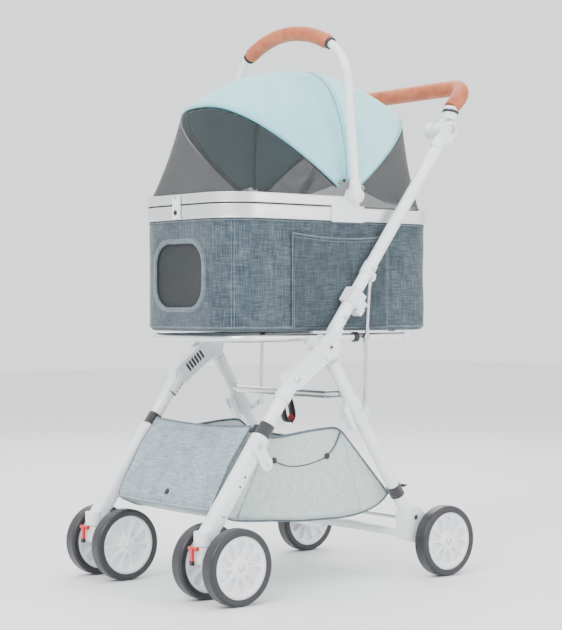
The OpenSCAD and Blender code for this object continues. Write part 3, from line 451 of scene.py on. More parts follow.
M = dict(
    white_paint=plastic("white_paint", (0.86, 0.875, 0.89), (0.18, 0.3), 420, 0.03, coat=0.5, wear=0.03),
    white_plastic=plastic("white_plastic", (0.83, 0.85, 0.865), (0.34, 0.48), 1200, 0.08, wear=0.04),
    gloss_white=plastic("gloss_white", (0.86, 0.87, 0.885), (0.2, 0.3), 500, 0.03, coat=0.3),
    aluminium=metal("satin_aluminium", (0.84, 0.845, 0.85), (0.26, 0.4), (1, 1, 14)),
    steel=metal("bright_steel", (0.72, 0.72, 0.73), (0.16, 0.28)),
    tyre=rubber("tyre_black", (0.022, 0.022, 0.026)),
    black=plastic("black_plastic", (0.018, 0.018, 0.02), (0.35, 0.5), 900, 0.08),
    red=plastic("red_plastic", (0.62, 0.02, 0.025), (0.25, 0.35), 700, 0.05, coat=0.3),
    denim=denim("denim_side", (0.026, 0.038, 0.047), (0.056, 0.080, 0.096), (0.118, 0.152, 0.172)),
    denim_light=denim("denim_basket", (0.155, 0.200, 0.235), (0.275, 0.345, 0.390), (0.45, 0.52, 0.56)),
    pocket=denim("denim_pocket", (0.020, 0.031, 0.038), (0.041, 0.060, 0.072), (0.082, 0.112, 0.128)),
    binding=denim("slate_binding", (0.060, 0.082, 0.100), (0.110, 0.145, 0.168), (0.19, 0.235, 0.26), 0.0016),
    window=net("window_net", (0.012, 0.016, 0.019), 0.70, 0.0024, spread=0.4),
    char_net=net("charcoal_net", (0.026, 0.028, 0.030), 0.24, 0.0030, (1, 0.6, 0), (0, 0.5, 1), 0.60),
    mint_net=net("mint_net", (0.66, 0.76, 0.73), 0.66, 0.003, spread=0.45),
    flap_net=net("mint_flap", (0.60, 0.71, 0.68), 0.75, 0.003, spread=0.4),
    canopy=cloth("aqua_cloth", (0.27, 0.63, 0.68), (0.34, 0.71, 0.76)),
    # the same aqua cloth made lighter for the canopy's rear part: painted light on the top of the canopy
    canopy_painted_light=cloth("aqua_cloth_painted_light", (0.34, 0.72, 0.76), (0.42, 0.79, 0.82)),
    teal=plastic("teal_bow", (0.035, 0.16, 0.16), (0.45, 0.6), 500, 0.1),
    piping=cloth("aqua_piping", (0.15, 0.42, 0.47), (0.21, 0.50, 0.55), 0.001),
    leather=leather("tan_leather", (0.36, 0.075, 0.022), (0.47, 0.105, 0.034), (0.57, 0.15, 0.055)),
    webbing=webbing("webbing_black", (0.035, 0.035, 0.04), (0, 0.7, 0.7)),
    velcro=plastic("hook_tape", (0.02, 0.02, 0.022), (0.7, 0.9), 2600, 0.5, spec=0.2),
    zipper=webbing("zip_tape", (0.05, 0.055, 0.06), (0.6, 0.8, 0), 0.003),
    thread_light=cloth("thread_light", (0.26, 0.31, 0.34), (0.36, 0.42, 0.45), 0.0008, alpha=1.0),
    thread_tan=cloth("thread_tan", (0.62, 0.30, 0.16), (0.75, 0.40, 0.22), 0.0008),
    thread_aqua=cloth("thread_aqua", (0.42, 0.62, 0.66), (0.50, 0.70, 0.74), 0.0008),
    board=denim("floor_cover", (0.10, 0.12, 0.14), (0.17, 0.20, 0.22), (0.26, 0.30, 0.32)),
)


def paint(material, *names):
    """Gives CAD nodes a finished material in place of the plain one they came with."""
    for n in names:
        mesh = NODES[n].data
        mesh.materials.clear()
        mesh.materials.append(material)
        mesh.polygons.foreach_set("material_index", [0] * len(mesh.polygons))


def paint_where(material, name, test):
    """Gives the faces of a CAD node whose middle passes the test another material."""
    mesh = NODES[name].data
    mesh.materials.append(material)
    slot = len(mesh.materials) - 1
    for poly in mesh.polygons:
        c = poly.center
        if test(abs(c.x), c.y, c.z):
            poly.material_index = slot


def near(place, r):
    return lambda x, y, z: math.hypot(y - place[0], z - place[1]) < r


paint(M["white_paint"], "front_legs", "rear_legs", "push_arms", "push_tubes", "rear_axle_bar")
paint(M["white_plastic"], "front_elbows", "leg_sheaths", "frame_caps", "rail_fittings", "caster_left",
      "caster_right", "rear_sleeves", "wheel_brackets", "fold_levers", "tube_clamps", "collar_lever_left",
      "collar_lever_right", "handle_forks", "handle_tube", "hinge_button_left", "hinge_button_right",
      "rim_clamps", "latch")
paint(M["aluminium"], "support_rail", "carrier_rim", "lid_rim", "rear_crossbar")
paint(M["steel"], "upper_links", "lower_links", "brake_bar")
paint(M["tyre"], *[n for n in NODES if n.startswith("tyre_")])
paint(M["red"], "swivel_lock_left", "swivel_lock_right")
for side in ("left", "right"):
    paint_where(M["black"], f"swivel_lock_{side}", lambda x, y, z: z < 0.0822)
    paint_where(M["steel"], f"collar_lever_{side}", lambda x, y,
                z: near(HUB + PUSH_DIR * 0.124 - PUSH_UP * 0.024, 0.0021)(x, y, z))
    paint_where(M["steel"], f"caster_{side}", near(FRONT_AXLE, 0.0045))
paint_where(M["red"], "brake_bar", lambda x, y, z: x < 0.0225 and y > 0.1635)
paint_where(M["steel"], "frame_caps", lambda x, y, z: near(HUB, 0.0056)(x, y, z) or (x > 0.20152 and z < 0.4))
paint_where(M["steel"], "wheel_brackets", lambda x, y, z: near(REAR_AXLE, 0.0045)(x, y,
    z) or near(REAR_FOOT + (0.009, -0.003), 0.0055)(x, y, z) and x > 0.1948)
paint_where(M["steel"], "push_arms", lambda x, y, z: x > 0.196 and near(HUB + PUSH_DIR * 0.07, 0.005)(x, y,
    z))
paint_where(M["steel"], "handle_tube", near(HANDLE, 0.0043))
paint_where(M["steel"], "rim_clamps", near(TILT, 0.0037))
paint_where(M["steel"], "rail_fittings", lambda x, y, z: x > 0.1575 and near((0.077, 0.4775), 0.003)(x, y, z))
paint_where(M["black"], "rail_fittings", lambda x, y, z: 0.0545 < y < 0.0655)
paint_where(M["aluminium"], "rail_fittings", lambda x, y, z: False)
paint_where(M["black"], "latch", lambda x, y, z: near((y, 0.716), 0.0052)(x, y, z) and x < 0.0052)
paint_where(M["steel"], "latch", lambda x, y, z: y < -0.2622 and z > 0.738)
paint_where(M["white_plastic"], "lid_rim", lambda x, y, z: y > 0.0349)


# ---------- wheels ----------
def rim_mesh():
    """Moulded rim with ten spokes between deep petal pockets, the same on both faces; its axis is X."""
    spokes, per, r_out = 10, 18, 0.0569
    radii = [0.0041, 0.0065, 0.009, 0.0096, 0.0125, 0.0142, 0.0150]
    radii += list(np.linspace(0.0156, 0.0500, 26)) + [0.0507, 0.0515, 0.054, 0.0560, r_out]
    cols = spokes * per
    sides = []
    for sign in (1, -1):
        for r in radii:
            for i in range(cols):
                a = 2 * math.pi * i / cols
                local = (a * spokes / (2 * math.pi)) % 1.0 - 0.5
                y = r * math.sin(local * 2 * math.pi / spokes)
                half = max(0.0004, math.tan(math.pi / spokes) * r - 0.0019)
                f = abs((r - 0.0335) / 0.0158) ** 3.2 + abs(y / half) ** 2.6
                inside = min(1.0, max(0.0, (1.0 - f) / 0.42))
                inside = inside * inside * (3 - 2 * inside)
                if r < 0.0093:
                    face = 0.0138
                elif r < 0.0145:
                    face = 0.0128
                elif r < 0.0503:
                    face = 0.0112 - 0.0018 * math.sin(math.pi * (r - 0.0145) / 0.036)
                elif r < 0.0545:
                    face = 0.0124
                else:
                    face = 0.0118
                h = face - 0.0086 * inside
                sides.append((sign * h, r * math.cos(a), r * math.sin(a)))
    rows = len(radii)
    faces = grid_faces(rows, cols, wrap_cols=True) + grid_faces(rows, cols, wrap_cols=True,
                                                                offset=rows * cols)
    for i in range(cols):
        j = (i + 1) % cols
        for row in (0, rows - 1):
            faces.append([row * cols + i, row * cols + j, (rows + row) * cols + j, (rows + row) * cols + i])
    return sides, faces


rim_v, rim_f = rim_mesh()
first_rim = None
for node in [n for n in NODES if n.startswith("rim_") and n != "rim_clamps"]:
    lo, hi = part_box(node)
    centre = (lo + hi) / 2
    body = "wheel_" + node[4:]
    if first_rim is None:
        rim = add("wheel_" + node, rim_v, rim_f, M["gloss_white"], None, shade_angle=38)
        first_rim = rim.data
    else:
        rim = bpy.data.objects.new("wheel_" + node, first_rim)
        bpy.context.scene.collection.objects.link(rim)
    rim.location = centre
    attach(rim, body)
    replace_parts(rim, node)
    parts = []
    for s in (1, -1):
        bolt = lathe_data([(0.0, 0.0140), (0.0062, 0.0140), (0.0062, 0.0156), (0.0054, 0.0166),
                           (0.0, 0.0166)],
                          centre, (s, 0, 0), 6)
        washer = lathe_data([(0.0, 0.0136), (0.0078, 0.0136), (0.0078, 0.0144), (0.0, 0.0144)], centre,
                            (s, 0, 0), 28)
        parts += [bolt, washer]
    many(f"bolt_{node[4:]}", parts, M["steel"], body, shade_angle=30)


# ---------- carrier ----------
def plan_loop(d, count):
    """Points round the carrier's plan, d inside the rim, at an even step from the middle of the front."""
    hw, y0, y1 = CAR_W - d, CAR_Y0 + d, CAR_Y1 - d
    rf, rr = max(FRONT_R - d, 0.002), max(REAR_R - d, 0.002)
    pts = [(0, y0)]
    for k in range(25):
        a = math.radians(-90 + 90 * k / 24)
        pts.append((hw - rf + rf * math.cos(a), y0 + rf + rf * math.sin(a)))
    for k in range(17):
        a = math.radians(90 * k / 16)
        pts.append((hw - rr + rr * math.cos(a), y1 - rr + rr * math.sin(a)))
    half = pts + [(0, y1)]
    loop = half + [(-x, y) for x, y in reversed(half[1:-1])]
    return spaced(loop, count)


def spaced(loop, count):
    pts = np.array([(x, y, 0.0) for x, y in loop] + [(*loop[0], 0.0)])
    seg = np.linalg.norm(np.diff(pts, axis=0), axis=1)
    cum = np.concatenate([[0], np.cumsum(seg)])
    want = np.linspace(0, cum[-1], count, endpoint=False)
    return np.stack([np.interp(want, cum, pts[:, k]) for k in range(2)], 1)


def at_height(loop, z):
    return [np.array([x, y, z]) for x, y in loop]


WIN_Z, WIN_W, WIN_H, WIN_R = 0.596, 0.078, 0.064, 0.044


def window_outline(grow, count=96):
    """Rounded window outline on the front of the body, with the point's X and Z."""
    hw, hh, r = WIN_W + grow, WIN_H + grow, WIN_R + grow
    pts = []
    for q, (sx, sz) in enumerate(((1, 1), (-1, 1), (-1, -1), (1, -1))):
        for k in range(13):
            a = math.radians(90 * q + 90 * k / 12)
            pts.append((sx * (hw - r) + r * math.cos(a), sz * (hh - r) + r * math.sin(a)))
    return spaced(pts, count)


def in_window(x, z, grow=0.0):
    hw, hh, r = WIN_W + grow, WIN_H + grow, WIN_R + grow
    dx, dz = abs(x) - (hw - r), abs(z - WIN_Z) - (hh - r)
    if dx <= 0 or dz <= 0:
        return dx <= r and dz <= r
    return math.hypot(dx, dz) <= r


def front_y(x, d):
    """Y of the carrier's front wall at X, d inside the rim."""
    hw, y0, rf = CAR_W - d, CAR_Y0 + d, FRONT_R - d
    over = abs(x) - (hw - rf)
    return y0 if over <= 0 else y0 + rf - math.sqrt(max(rf * rf - over * over, 0))


def simulate_cloth(obj, pinned, pressure, frames, cap):
    """Lets the cloth of obj puff out between its pinned seams, then keeps that shape."""
    rest = np.array([v.co for v in obj.data.vertices])
    group = obj.vertex_groups.new(name="seams")
    group.add([int(i) for i in pinned], 1.0, "REPLACE")
    mod = obj.modifiers.new("cloth", "CLOTH")
    st = mod.settings
    st.vertex_group_mass = "seams"
    st.quality = 5
    st.mass = 0.3
    st.tension_stiffness = st.compression_stiffness = 18
    st.shear_stiffness = 8
    st.bending_stiffness = 0.6
    st.use_pressure = True
    st.uniform_pressure_force = pressure
    st.effector_weights.gravity = 0
    mod.point_cache.frame_start, mod.point_cache.frame_end = 1, frames
    for f in range(1, frames + 1):
        bpy.context.scene.frame_set(f)
    graph = bpy.context.evaluated_depsgraph_get()
    new = np.array([v.co for v in obj.evaluated_get(graph).data.vertices])
    obj.modifiers.remove(mod)
    obj.vertex_groups.clear()
    bpy.context.scene.frame_set(1)
    move = new - rest
    size = np.linalg.norm(move, axis=1, keepdims=True)
    move *= np.minimum(1.0, cap / np.maximum(size, 1e-9))
    move[~np.isfinite(move)] = 0
    obj.data.vertices.foreach_set("co", (rest + move).astype(np.float32).ravel())
    obj.data.update()


BODY_COLS, D0 = 300, 0.0042
body_rows = [RIM_Z + 0.004, RIM_Z + 0.001] + list(np.linspace(RIM_Z - 0.003, BODY_Z + 0.012, 40))
wall = plan_loop(D0, BODY_COLS)
verts, faces = [], []
for z in body_rows:
    verts += at_height(wall, z)
for turn_in, z in ((0.0012, BODY_Z + 0.008), (0.0035, BODY_Z + 0.004), (0.0075, BODY_Z + 0.0015),
                   (0.013, BODY_Z + 0.0008)):
    verts += at_height(plan_loop(D0 + turn_in, BODY_COLS), z)
for k in (0.8, 0.5, 0.2):
    verts += [np.array([x * k, y * k + 0.0045 * (1 - k), BODY_Z + 0.0008]) for x, y in plan_loop(D0 + 0.013,
        BODY_COLS)]
rows_all = len(body_rows) + 4 + 3
for f in grid_faces(rows_all, BODY_COLS, wrap_cols=True):
    c = sum(verts[i] for i in f) / 4
    if c[1] < -0.18 and c[2] > 0.51 and in_window(c[0], c[2], 0.0012):
        continue
    faces.append(f)
faces.append([(rows_all - 1) * BODY_COLS + i for i in range(BODY_COLS)])
shell = add("carrier_shell", verts, faces, M["denim"], None)
SEAM_COLS = []
for i, (x, y) in enumerate(wall):
    if (abs(y - (CAR_Y0 + 0.030)) < 0.0028 and abs(x) > 0.1) or (abs(y - 0.142) < 0.0028 and abs(x) > 0.15):
        SEAM_COLS.append(i)
pins = set()
for j in range(rows_all):
    for i in range(BODY_COLS):
        x, y, z = verts[j * BODY_COLS + i]
        if j < 3 or j >= len(body_rows) - 1 or i in SEAM_COLS or (y < -0.2 and in_window(x, z, 0.006)):
            pins.add(j * BODY_COLS + i)
simulate_cloth(shell, sorted(pins), 2.2, 14, 0.0055)
co = np.array([v.co for v in shell.data.vertices])
hgt = np.clip((co[:, 2] - BODY_Z) / (RIM_Z - BODY_Z), 0, 1)
lift = np.sin(math.pi * np.clip(hgt, 0, 1)) ** 0.6
wave = (0.0007 * np.sin(co[:, 1] * 61 + co[:, 2] * 24) + 0.0006 * np.sin(co[:, 1] * 23 - co[:, 2] * 57 + 1.3)
        + 0.0004 * np.sin(co[:, 0] * 71 + co[:, 2] * 41))
out = co * [1, 1, 0] - [0, 0.0045, 0]
out /= np.linalg.norm(out, axis=1, keepdims=True) + 1e-9
side_ok = (hgt > 0.04) & (hgt < 0.99)
co += out * (wave * lift * side_ok)[:, None]
shell.data.vertices.foreach_set("co", co.astype(np.float32).ravel())
thicken(shell, 0.0035, -1.0)
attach(shell, "carrier")
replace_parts(shell, "carrier_body")

# seams and piping of the body
bottom_loop = at_height(plan_loop(D0 + 0.0012, 220), BODY_Z + 0.0085)
tube("body_bottom_piping", bottom_loop, 0.0021, M["binding"], "carrier", 8, closed=True, slot="grey_fabric")
hem = at_height(plan_loop(D0 - 0.0006, 260), RIM_Z - 0.0035)
tube("body_top_piping", hem, 0.0017, M["binding"], "carrier", 8, closed=True, slot="grey_fabric")
parts = []
for i in SEAM_COLS:
    x, y = wall[i]
    n = np.array([x, y - 0.0045]) / np.hypot(x, y - 0.0045)
    if abs(x) > 0.1 and y < 0:
        n = np.array([np.sign(x) * 0.72, -0.69])
    elif abs(x) > 0.15:
        n = np.array([np.sign(x), 0.0])
    line = [np.array([x + n[0] * 0.0006, y + n[1] * 0.0006, z]) for z in np.linspace(BODY_Z + 0.008,
        RIM_Z - 0.003, 24)]
    parts.append(tube_data(line, 0.0011, 6))
many("body_seams", parts, M["binding"], "carrier", slot="grey_fabric")

# window: net, binding and its two rows of stitches
net_v, net_f = [], []
RINGS = 10
for j in range(RINGS + 1):
    k = j / RINGS
    for x, z in window_outline(0.004, 96):
        px, pz = x * k, z * k
        dip = 0.004 * (1 - k * k)
        net_v.append(np.array([px, front_y(px, D0 + 0.0022) - 0.0012 + dip, WIN_Z + pz]))
net_f = grid_faces(RINGS + 1, 96, wrap_cols=True)
pane = add("window_net", net_v, net_f, M["window"], "carrier", slot="charcoal_mesh")
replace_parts(pane, "window_mesh")
bind_v, bind_f = [], []
PROFILE = [(-0.0035, 0.0012), (-0.0028, 0.0032), (0.0, 0.0038), (0.0045, 0.0034), (0.0062, 0.0028),
           (0.0068, 0.0006)]
for grow, lift_out in PROFILE:
    for x, z in window_outline(grow, 128):
        bind_v.append(np.array([x, front_y(x, D0) - lift_out, WIN_Z + z]))
bind_f = grid_faces(len(PROFILE), 128, wrap_cols=True)
add("window_binding", bind_v, bind_f, M["binding"], "carrier", slot="grey_fabric")
parts = []
for grow, lift_out in ((-0.0004, 0.0040), (0.0052, 0.0036), (0.0086, 0.0016)):
    loop = [np.array([x, front_y(x, D0) - lift_out, WIN_Z + z]) for x, z in window_outline(grow, 260)]
    parts += stitch_parts(loop, closed=True)
many("window_stitches", parts, M["thread_light"], "carrier")

# side pockets: a sagging sheet on each flank, open along its top
for side in (1, -1):
    rows, cols = 26, 34
    pv = []
    for j in range(rows):
        for i in range(cols):
            u, v = i / (cols - 1), j / (rows - 1)
            y = -0.107 + 0.242 * u
            top = 0.6765 - 0.0085 * math.sin(math.pi * u) ** 0.8
            z = 0.499 + (top - 0.499) * v
            belly = 0.0052 * math.sin(math.pi * u) ** 0.5 * (0.25 + 0.75 * v)
            ripple = 0.0007 * math.sin(9 * u + 5 * v) * math.sin(math.pi * u)
            pv.append(np.array([side * (CAR_W - D0 + 0.0062 + belly + ripple), y, z]))
    name = "left" if side > 0 else "right"
    pocket = add(f"pocket_{name}", pv, grid_faces(rows, cols), M["pocket"], None, slot="grey_fabric")
    thicken(pocket, 0.0012, 0)
    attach(pocket, "carrier")
    edge = [pv[(rows - 1) * cols + i] for i in range(cols)]
    left_edge, right_edge = [pv[j * cols] for j in range(rows)], [pv[j * cols + cols - 1]
                                                                  for j in range(rows)]
    many(f"pocket_binding_{name}", [tube_data(edge, 0.0017, 8), tube_data(left_edge, 0.0012, 6),
                                    tube_data(right_edge, 0.0012, 6)],
         M["binding"], "carrier", slot="grey_fabric")
    thread = stitch_parts([p + np.array([side * 0.0012, 0, -0.006]) for p in edge])
    thread += stitch_parts([p + np.array([side * 0.0010, 0.004, 0]) for p in left_edge])
    many(f"pocket_stitches_{name}", thread, M["thread_light"], "carrier")

# padded floor of the cabin
fl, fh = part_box("carrier_floor")
pad_v = []
PAD = [(0.0105, fl.z + 0.0004), (0.0098, fl.z + 0.004), (0.0098, fl.z + 0.008), (0.0112, fh.z - 0.0012),
       (0.0160, fh.z)]
for d, z in PAD:
    pad_v += at_height(plan_loop(d, 200), z)
inner = plan_loop(0.016, 200)
for k in (0.97, 0.9, 0.8, 0.66, 0.5, 0.34, 0.17, 0.03):
    pad_v += [np.array([x * k, (y - 0.0045) * k + 0.0045,
                        fh.z + 0.002 * math.sin(x * k * 36) * math.sin((y - 0.0045) * k * 30)])
              for x, y in inner]
pad = add("cabin_pad", pad_v, grid_faces(len(PAD) + 8, 200, wrap_cols=True) + [list(range(200))[::-1]]
          + [[(len(PAD) + 7) * 200 + i for i in range(200)]], M["board"], "carrier", slot="floor_board")
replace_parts(pad, "carrier_floor")

# beads of the two rims, the zip between them and the body's feet
for name, d, z, r in (("rim_bead_low", -0.0002, 0.7036, 0.0012), ("rim_bead_mid", 0.0000, 0.7078, 0.0006),
                      ("rim_bead_top", -0.0001, 0.7278, 0.0009)):
    tube(name, at_height(plan_loop(d, 300), z), r, M["aluminium"], "carrier", 8, closed=True,
         slot="satin_aluminium")
for name, d, z, r in (("lid_bead_low", -0.0001, 0.7329, 0.0009), ("lid_bead_top", -0.0001, 0.7500, 0.0010)):
    loop = [p for p in at_height(plan_loop(d, 600), z) if p[1] < 0.033]
    loop.sort(key=lambda p: math.atan2(p[0], 0.3 - p[1]))
    tube(name, loop, r, M["aluminium"], "lid", 8, slot="satin_aluminium")
loop = [p for p in at_height(plan_loop(0.0022, 600), 0) if p[1] < 0.16]
loop.sort(key=lambda p: math.atan2(p[0], 0.6 - p[1]))
zv = []
for z in (0.7291, 0.7318):
    zv += [np.array([p[0], p[1], z]) for p in loop]
zip_tape = add("zip_tape", zv, grid_faces(2, len(loop)), M["zipper"], None)
thicken(zip_tape, 0.001, 0)
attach(zip_tape, "carrier")
teeth = []
for p in resample([np.array([p[0], p[1], 0.7305]) for p in loop if p[1] < 0.09], 0.0036):
    n = np.array([p[0], p[1] - 0.0045, 0]) / np.hypot(p[0], p[1] - 0.0045)
    teeth.append(tube_data([p + n * 0.0002, p + n * 0.0016], 0.0009, 5))
many("zip_teeth", teeth, M["black"], "carrier")
feet = []
for sx in (1, -1):
    for y in (0.187, -0.145):
        feet.append(lathe_data([(0.0, 0.0), (0.007, 0.0), (0.0075, -0.0012), (0.007, -0.0022),
                                (0.0, -0.0022)], (sx * 0.118, y, BODY_Z + 0.0008), (0, 0, 1), 20))
many("body_feet", feet, M["black"], "carrier")


# ---------- canopy ----------
def power(v, n):
    return math.copysign(abs(v) ** (2 / n), v)


FOOT_R, BOW_W = 0.016, 0.1555
FRONT = (34.5, BOW_W, 0.302, 2.6)
MID = (88.0, BOW_W - 0.007, 0.256, 2.5)
MID_BACK = (89.0, BOW_W - 0.007, 0.256, 2.5)
REAR = (141.0, BOW_W, 0.298, 2.2)
REAR_NET = (142.0, BOW_W - 0.0003, 0.2977, 2.2)
LID_C = (-1.0, BOW_W - 0.002, TILT[0] - CAR_Y0 - 0.008, 5.8)
RIM_C = (185.0, BOW_W - 0.001, CAR_Y1 - TILT[0] - 0.006, 7.0)
FRONT_NET = (33.0, BOW_W - 0.0003, 0.3017, 2.6)


def bow_pt(c, t, inset=0.0):
    a, w, h, n = math.radians(c[0]), c[1] - inset, c[2] - inset, c[3]
    x = w * power(math.cos(math.pi * t), n)
    r = FOOT_R + (h - FOOT_R) * power(math.sin(math.pi * t), n)
    return np.array([x, TILT[0] - r * math.cos(a), TILT[1] + r * math.sin(a)])


def mix(p, q, s, dip):
    return (p[0] + (q[0] - p[0]) * s, p[1] + (q[1] - p[1]) * s,
            p[2] + (q[2] - p[2]) * s - dip * math.sin(math.pi * s), p[3] + (q[3] - p[3]) * s)


def canopy_grid(p, q, dip, straight, rows, cols, lo=0.012, crease=0.0, side_dip=0.0):
    """Points of a cloth between two bows, with faint tension folds running from bow to bow."""
    pts = []
    for j in range(rows):
        s = j / (rows - 1)
        for i in range(cols):
            t = lo + (1 - 2 * lo) * i / (cols - 1)
            if straight:
                a, b = bow_pt(p, t), bow_pt(q, t)
                v = a + (b - a) * s
                c = np.array([0.0, TILT[0], TILT[1]])
                inward = c - v
                v = v + inward / np.linalg.norm(inward) * side_dip * math.sin(math.pi * s)
            else:
                v = bow_pt(mix(p, q, s, dip), t)
            fold = crease * math.sin(math.pi * s) * (math.sin(t * 41) + 0.6 * math.sin(t * 23 + 1.1))
            out = v - np.array([0.0, TILT[0], TILT[1]])
            v = v + out / (np.linalg.norm(out) + 1e-9) * fold
            pts.append(v)
    return pts


def cloth_piece(name, p, q, dip, material, slot, thick, straight=False, crease=0.0, rows=22, cols=110,
                side_dip=0.0):
    pts = canopy_grid(p, q, dip, straight, rows, cols, crease=crease, side_dip=side_dip)
    obj = add(name, pts, grid_faces(rows, cols), material, None, slot=slot)
    thicken(obj, thick, 0)
    return obj, pts, rows, cols


def area(obj):
    return sum(f.area for f in obj.data.polygons) / 2


def edge_len(points):
    return float(sum(np.linalg.norm(np.array(points[i + 1]) - np.array(points[i]))
                     for i in range(len(points) - 1)))


top_front, _, R_, C_ = cloth_piece("canopy_front_cloth", FRONT, MID, 0.010, M["canopy"], "aqua_canopy",
                                   0.0011, crease=0.0007)
# the rear cloth takes the lighter copy of the aqua cloth, painted light on the canopy's top
top_rear, _, _, _ = cloth_piece("canopy_rear_cloth", MID_BACK, REAR, 0.014, M["canopy_painted_light"], "aqua_canopy",
                                0.0011, crease=0.0010)
net_front, nf, _, _ = cloth_piece("net_front", LID_C, FRONT_NET, 0, M["char_net"], "charcoal_mesh", 0.0007,
                                  True, side_dip=0.004)
net_rear, nr, _, _ = cloth_piece("net_rear", REAR_NET, RIM_C, 0, M["char_net"], "charcoal_mesh", 0.0007,
                                 True, side_dip=0.004)
for obj, node, flat, rest in ((top_front, "canopy_front", (0.66, 0.30), ["front_bow", "rear_bows"]),
                              (top_rear, "canopy_rear", (0.66, 0.27), ["rear_bows"]),
                              (net_front, "front_mesh", (0.80, 0.22), ["lid_rim"]), (net_rear, "rear_mesh",
                                  (0.80, 0.26), ["carrier_rim"])):
    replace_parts(obj, node)
    a = area(obj)
    w, h = flat
    k = math.sqrt(a / (w * h) * 1.25)
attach(top_rear, "carrier")
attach(net_rear, "carrier")
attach(net_front, "lid")
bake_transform(top_front)


def bow_line(c, inset=0.0, lo=0.008, n=90):
    return [bow_pt(c, lo + (1 - 2 * lo) * i / n, inset) for i in range(n + 1)]


def offset_curve(c, turn, grow=0.0, drop=0.0):
    return (c[0] + turn, c[1] + grow, c[2] + grow + drop, c[3])


bows = tube("front_bow_wire", bow_line((35.5, BOW_W, 0.302, 2.6), 0.0080), 0.0029, M["teal"], "lid", 12,
            slot="teal_bow")
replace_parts(bows, "front_bow")
rear_wires = many("rear_bow_wires", [tube_data(bow_line((87.0, BOW_W - 0.007, 0.256, 2.5), 0.0056), 0.0029,
                                               12),
                                     tube_data(bow_line((139.0, BOW_W, 0.298, 2.2), 0.0100), 0.0029, 12)],
                                     M["teal"], "carrier", slot="teal_bow")
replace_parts(rear_wires, "rear_bows")
# bound front edge, with its thread lines behind it
tube("front_edge_piping", bow_line(offset_curve(FRONT, -0.2)), 0.0023, M["piping"], "lid", 10,
     slot="aqua_canopy")
tube("front_edge_lining", bow_line((34.9, BOW_W, 0.302, 2.6), 0.0030), 0.0020, M["teal"], "lid", 10,
     slot="teal_bow")
lines = stitch_parts(bow_line(offset_curve(FRONT, 1.7, 0.0, -0.0004)), 0.003, 0.0018)
many("front_edge_stitches", lines, M["thread_aqua"], "lid")
mid_parts = [tube_data(bow_line(offset_curve(MID, -0.2, 0.0006)), 0.0015, 8),
             tube_data(bow_line(offset_curve(MID_BACK, 1.9, 0.0004, -0.0008)), 0.0012, 8)]
many("middle_piping", mid_parts, M["piping"], "carrier", slot="aqua_canopy")
tube("rear_edge_piping", bow_line(offset_curve(REAR, 0.3)), 0.0020, M["piping"], "carrier", 8,
     slot="aqua_canopy")
lines = stitch_parts(bow_line(offset_curve(REAR, -1.9, 0.0, -0.0004)), 0.003, 0.0018)
many("rear_edge_stitches", lines, M["thread_aqua"], "carrier")
tube("net_front_hem", [nf[i] for i in range(C_)], 0.0016, M["binding"], "lid", 8)
tube("net_rear_hem", [nr[(R_ - 1) * C_ + i] for i in range(C_)], 0.0016, M["binding"], "carrier", 8)


# ---------- carry handle ----------
CD = 0.0085
CX = 0.161 + 0.0003 + 0.005 + 0.0003 + 0.0002 + CD
CORNER_R, CORNER_A, CARRY_H, HUB_SEAT = 0.092, math.radians(62), 0.333, 0.013
CROWN_A = math.pi / 2 - CORNER_A
CROWN_R = (CX - CORNER_R * (1 - math.cos(CORNER_A))) / math.sin(CROWN_A)
CARRY_LEG = CARRY_H - CROWN_R * (1 - math.cos(CROWN_A)) - CORNER_R * math.sin(CORNER_A)
LEAN = math.radians(5)


def leaned(p):
    """Point of the carry handle's own frame, where Y is its normal, put on the pivot."""
    x, y, z = p
    return np.array([x, TILT[0] + y * math.cos(LEAN) - z * math.sin(LEAN),
                     TILT[1] + y * math.sin(LEAN) + z * math.cos(LEAN)])


half = [(CX, 0, HUB_SEAT + k * (CARRY_LEG - HUB_SEAT) / 6) for k in range(6)]
half += [(CX - CORNER_R * (1 - math.cos(a)), 0, CARRY_LEG + CORNER_R * math.sin(a)) for a in np.linspace(0,
    CORNER_A, 16)]
crown = [(CROWN_R * math.sin(a), 0, CARRY_H - CROWN_R * (1 - math.cos(a))) for a in np.linspace(CROWN_A,
    -CROWN_A, 42)]
path = [leaned(p) for p in half + crown[1:-1] + [(-x, y, z) for x, y, z in reversed(half)]]
arch = tube("arch_tube", path, CD, M["white_paint"], "carry_handle", 24, slot="white_paint")
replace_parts(arch, "carry_handle")
grip_line = [leaned((CROWN_R * math.sin(a), 0, CARRY_H - CROWN_R * (1 - math.cos(a))))
             for a in np.linspace(CROWN_A, -CROWN_A, 60)]
radii = [CD + 0.0064 * min(1.0, 0.45 + min(i, 59 - i) / 3) for i in range(60)]
wrap = tube("arch_grip", grip_line, 0.015, M["leather"], "carry_handle", 28, slot="tan_leather", radii=radii)
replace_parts(wrap, "carry_grip")
under = [leaned((CROWN_R * math.sin(a) * 0.945, 0, CARRY_H - CROWN_R * (1 - math.cos(a)) - 0.0149))
         for a in np.linspace(CROWN_A * 0.96, -CROWN_A * 0.96, 60)]
many("arch_grip_seam", stitch_parts(under, 0.0034, 0.0022, 0.0006), M["thread_tan"], "carry_handle")
ends = []
for sgn in (1, -1):
    a = sgn * CROWN_A
    p = leaned((CROWN_R * math.sin(a * 1.006), 0, CARRY_H - CROWN_R * (1 - math.cos(a * 1.006))))
    q = leaned((CROWN_R * math.sin(a * 1.045), 0, CARRY_H - CROWN_R * (1 - math.cos(a * 1.045))))
    ends.append(lathe_data([(0.0089, 0.0), (0.0122, 0.0), (0.0126, 0.0012), (0.0122, 0.0048),
                            (0.0089, 0.0052)], p, q - p, 28))
many("arch_grip_rings", ends, M["black"], "carry_handle")
hubs, caps, hooks = [], [], []
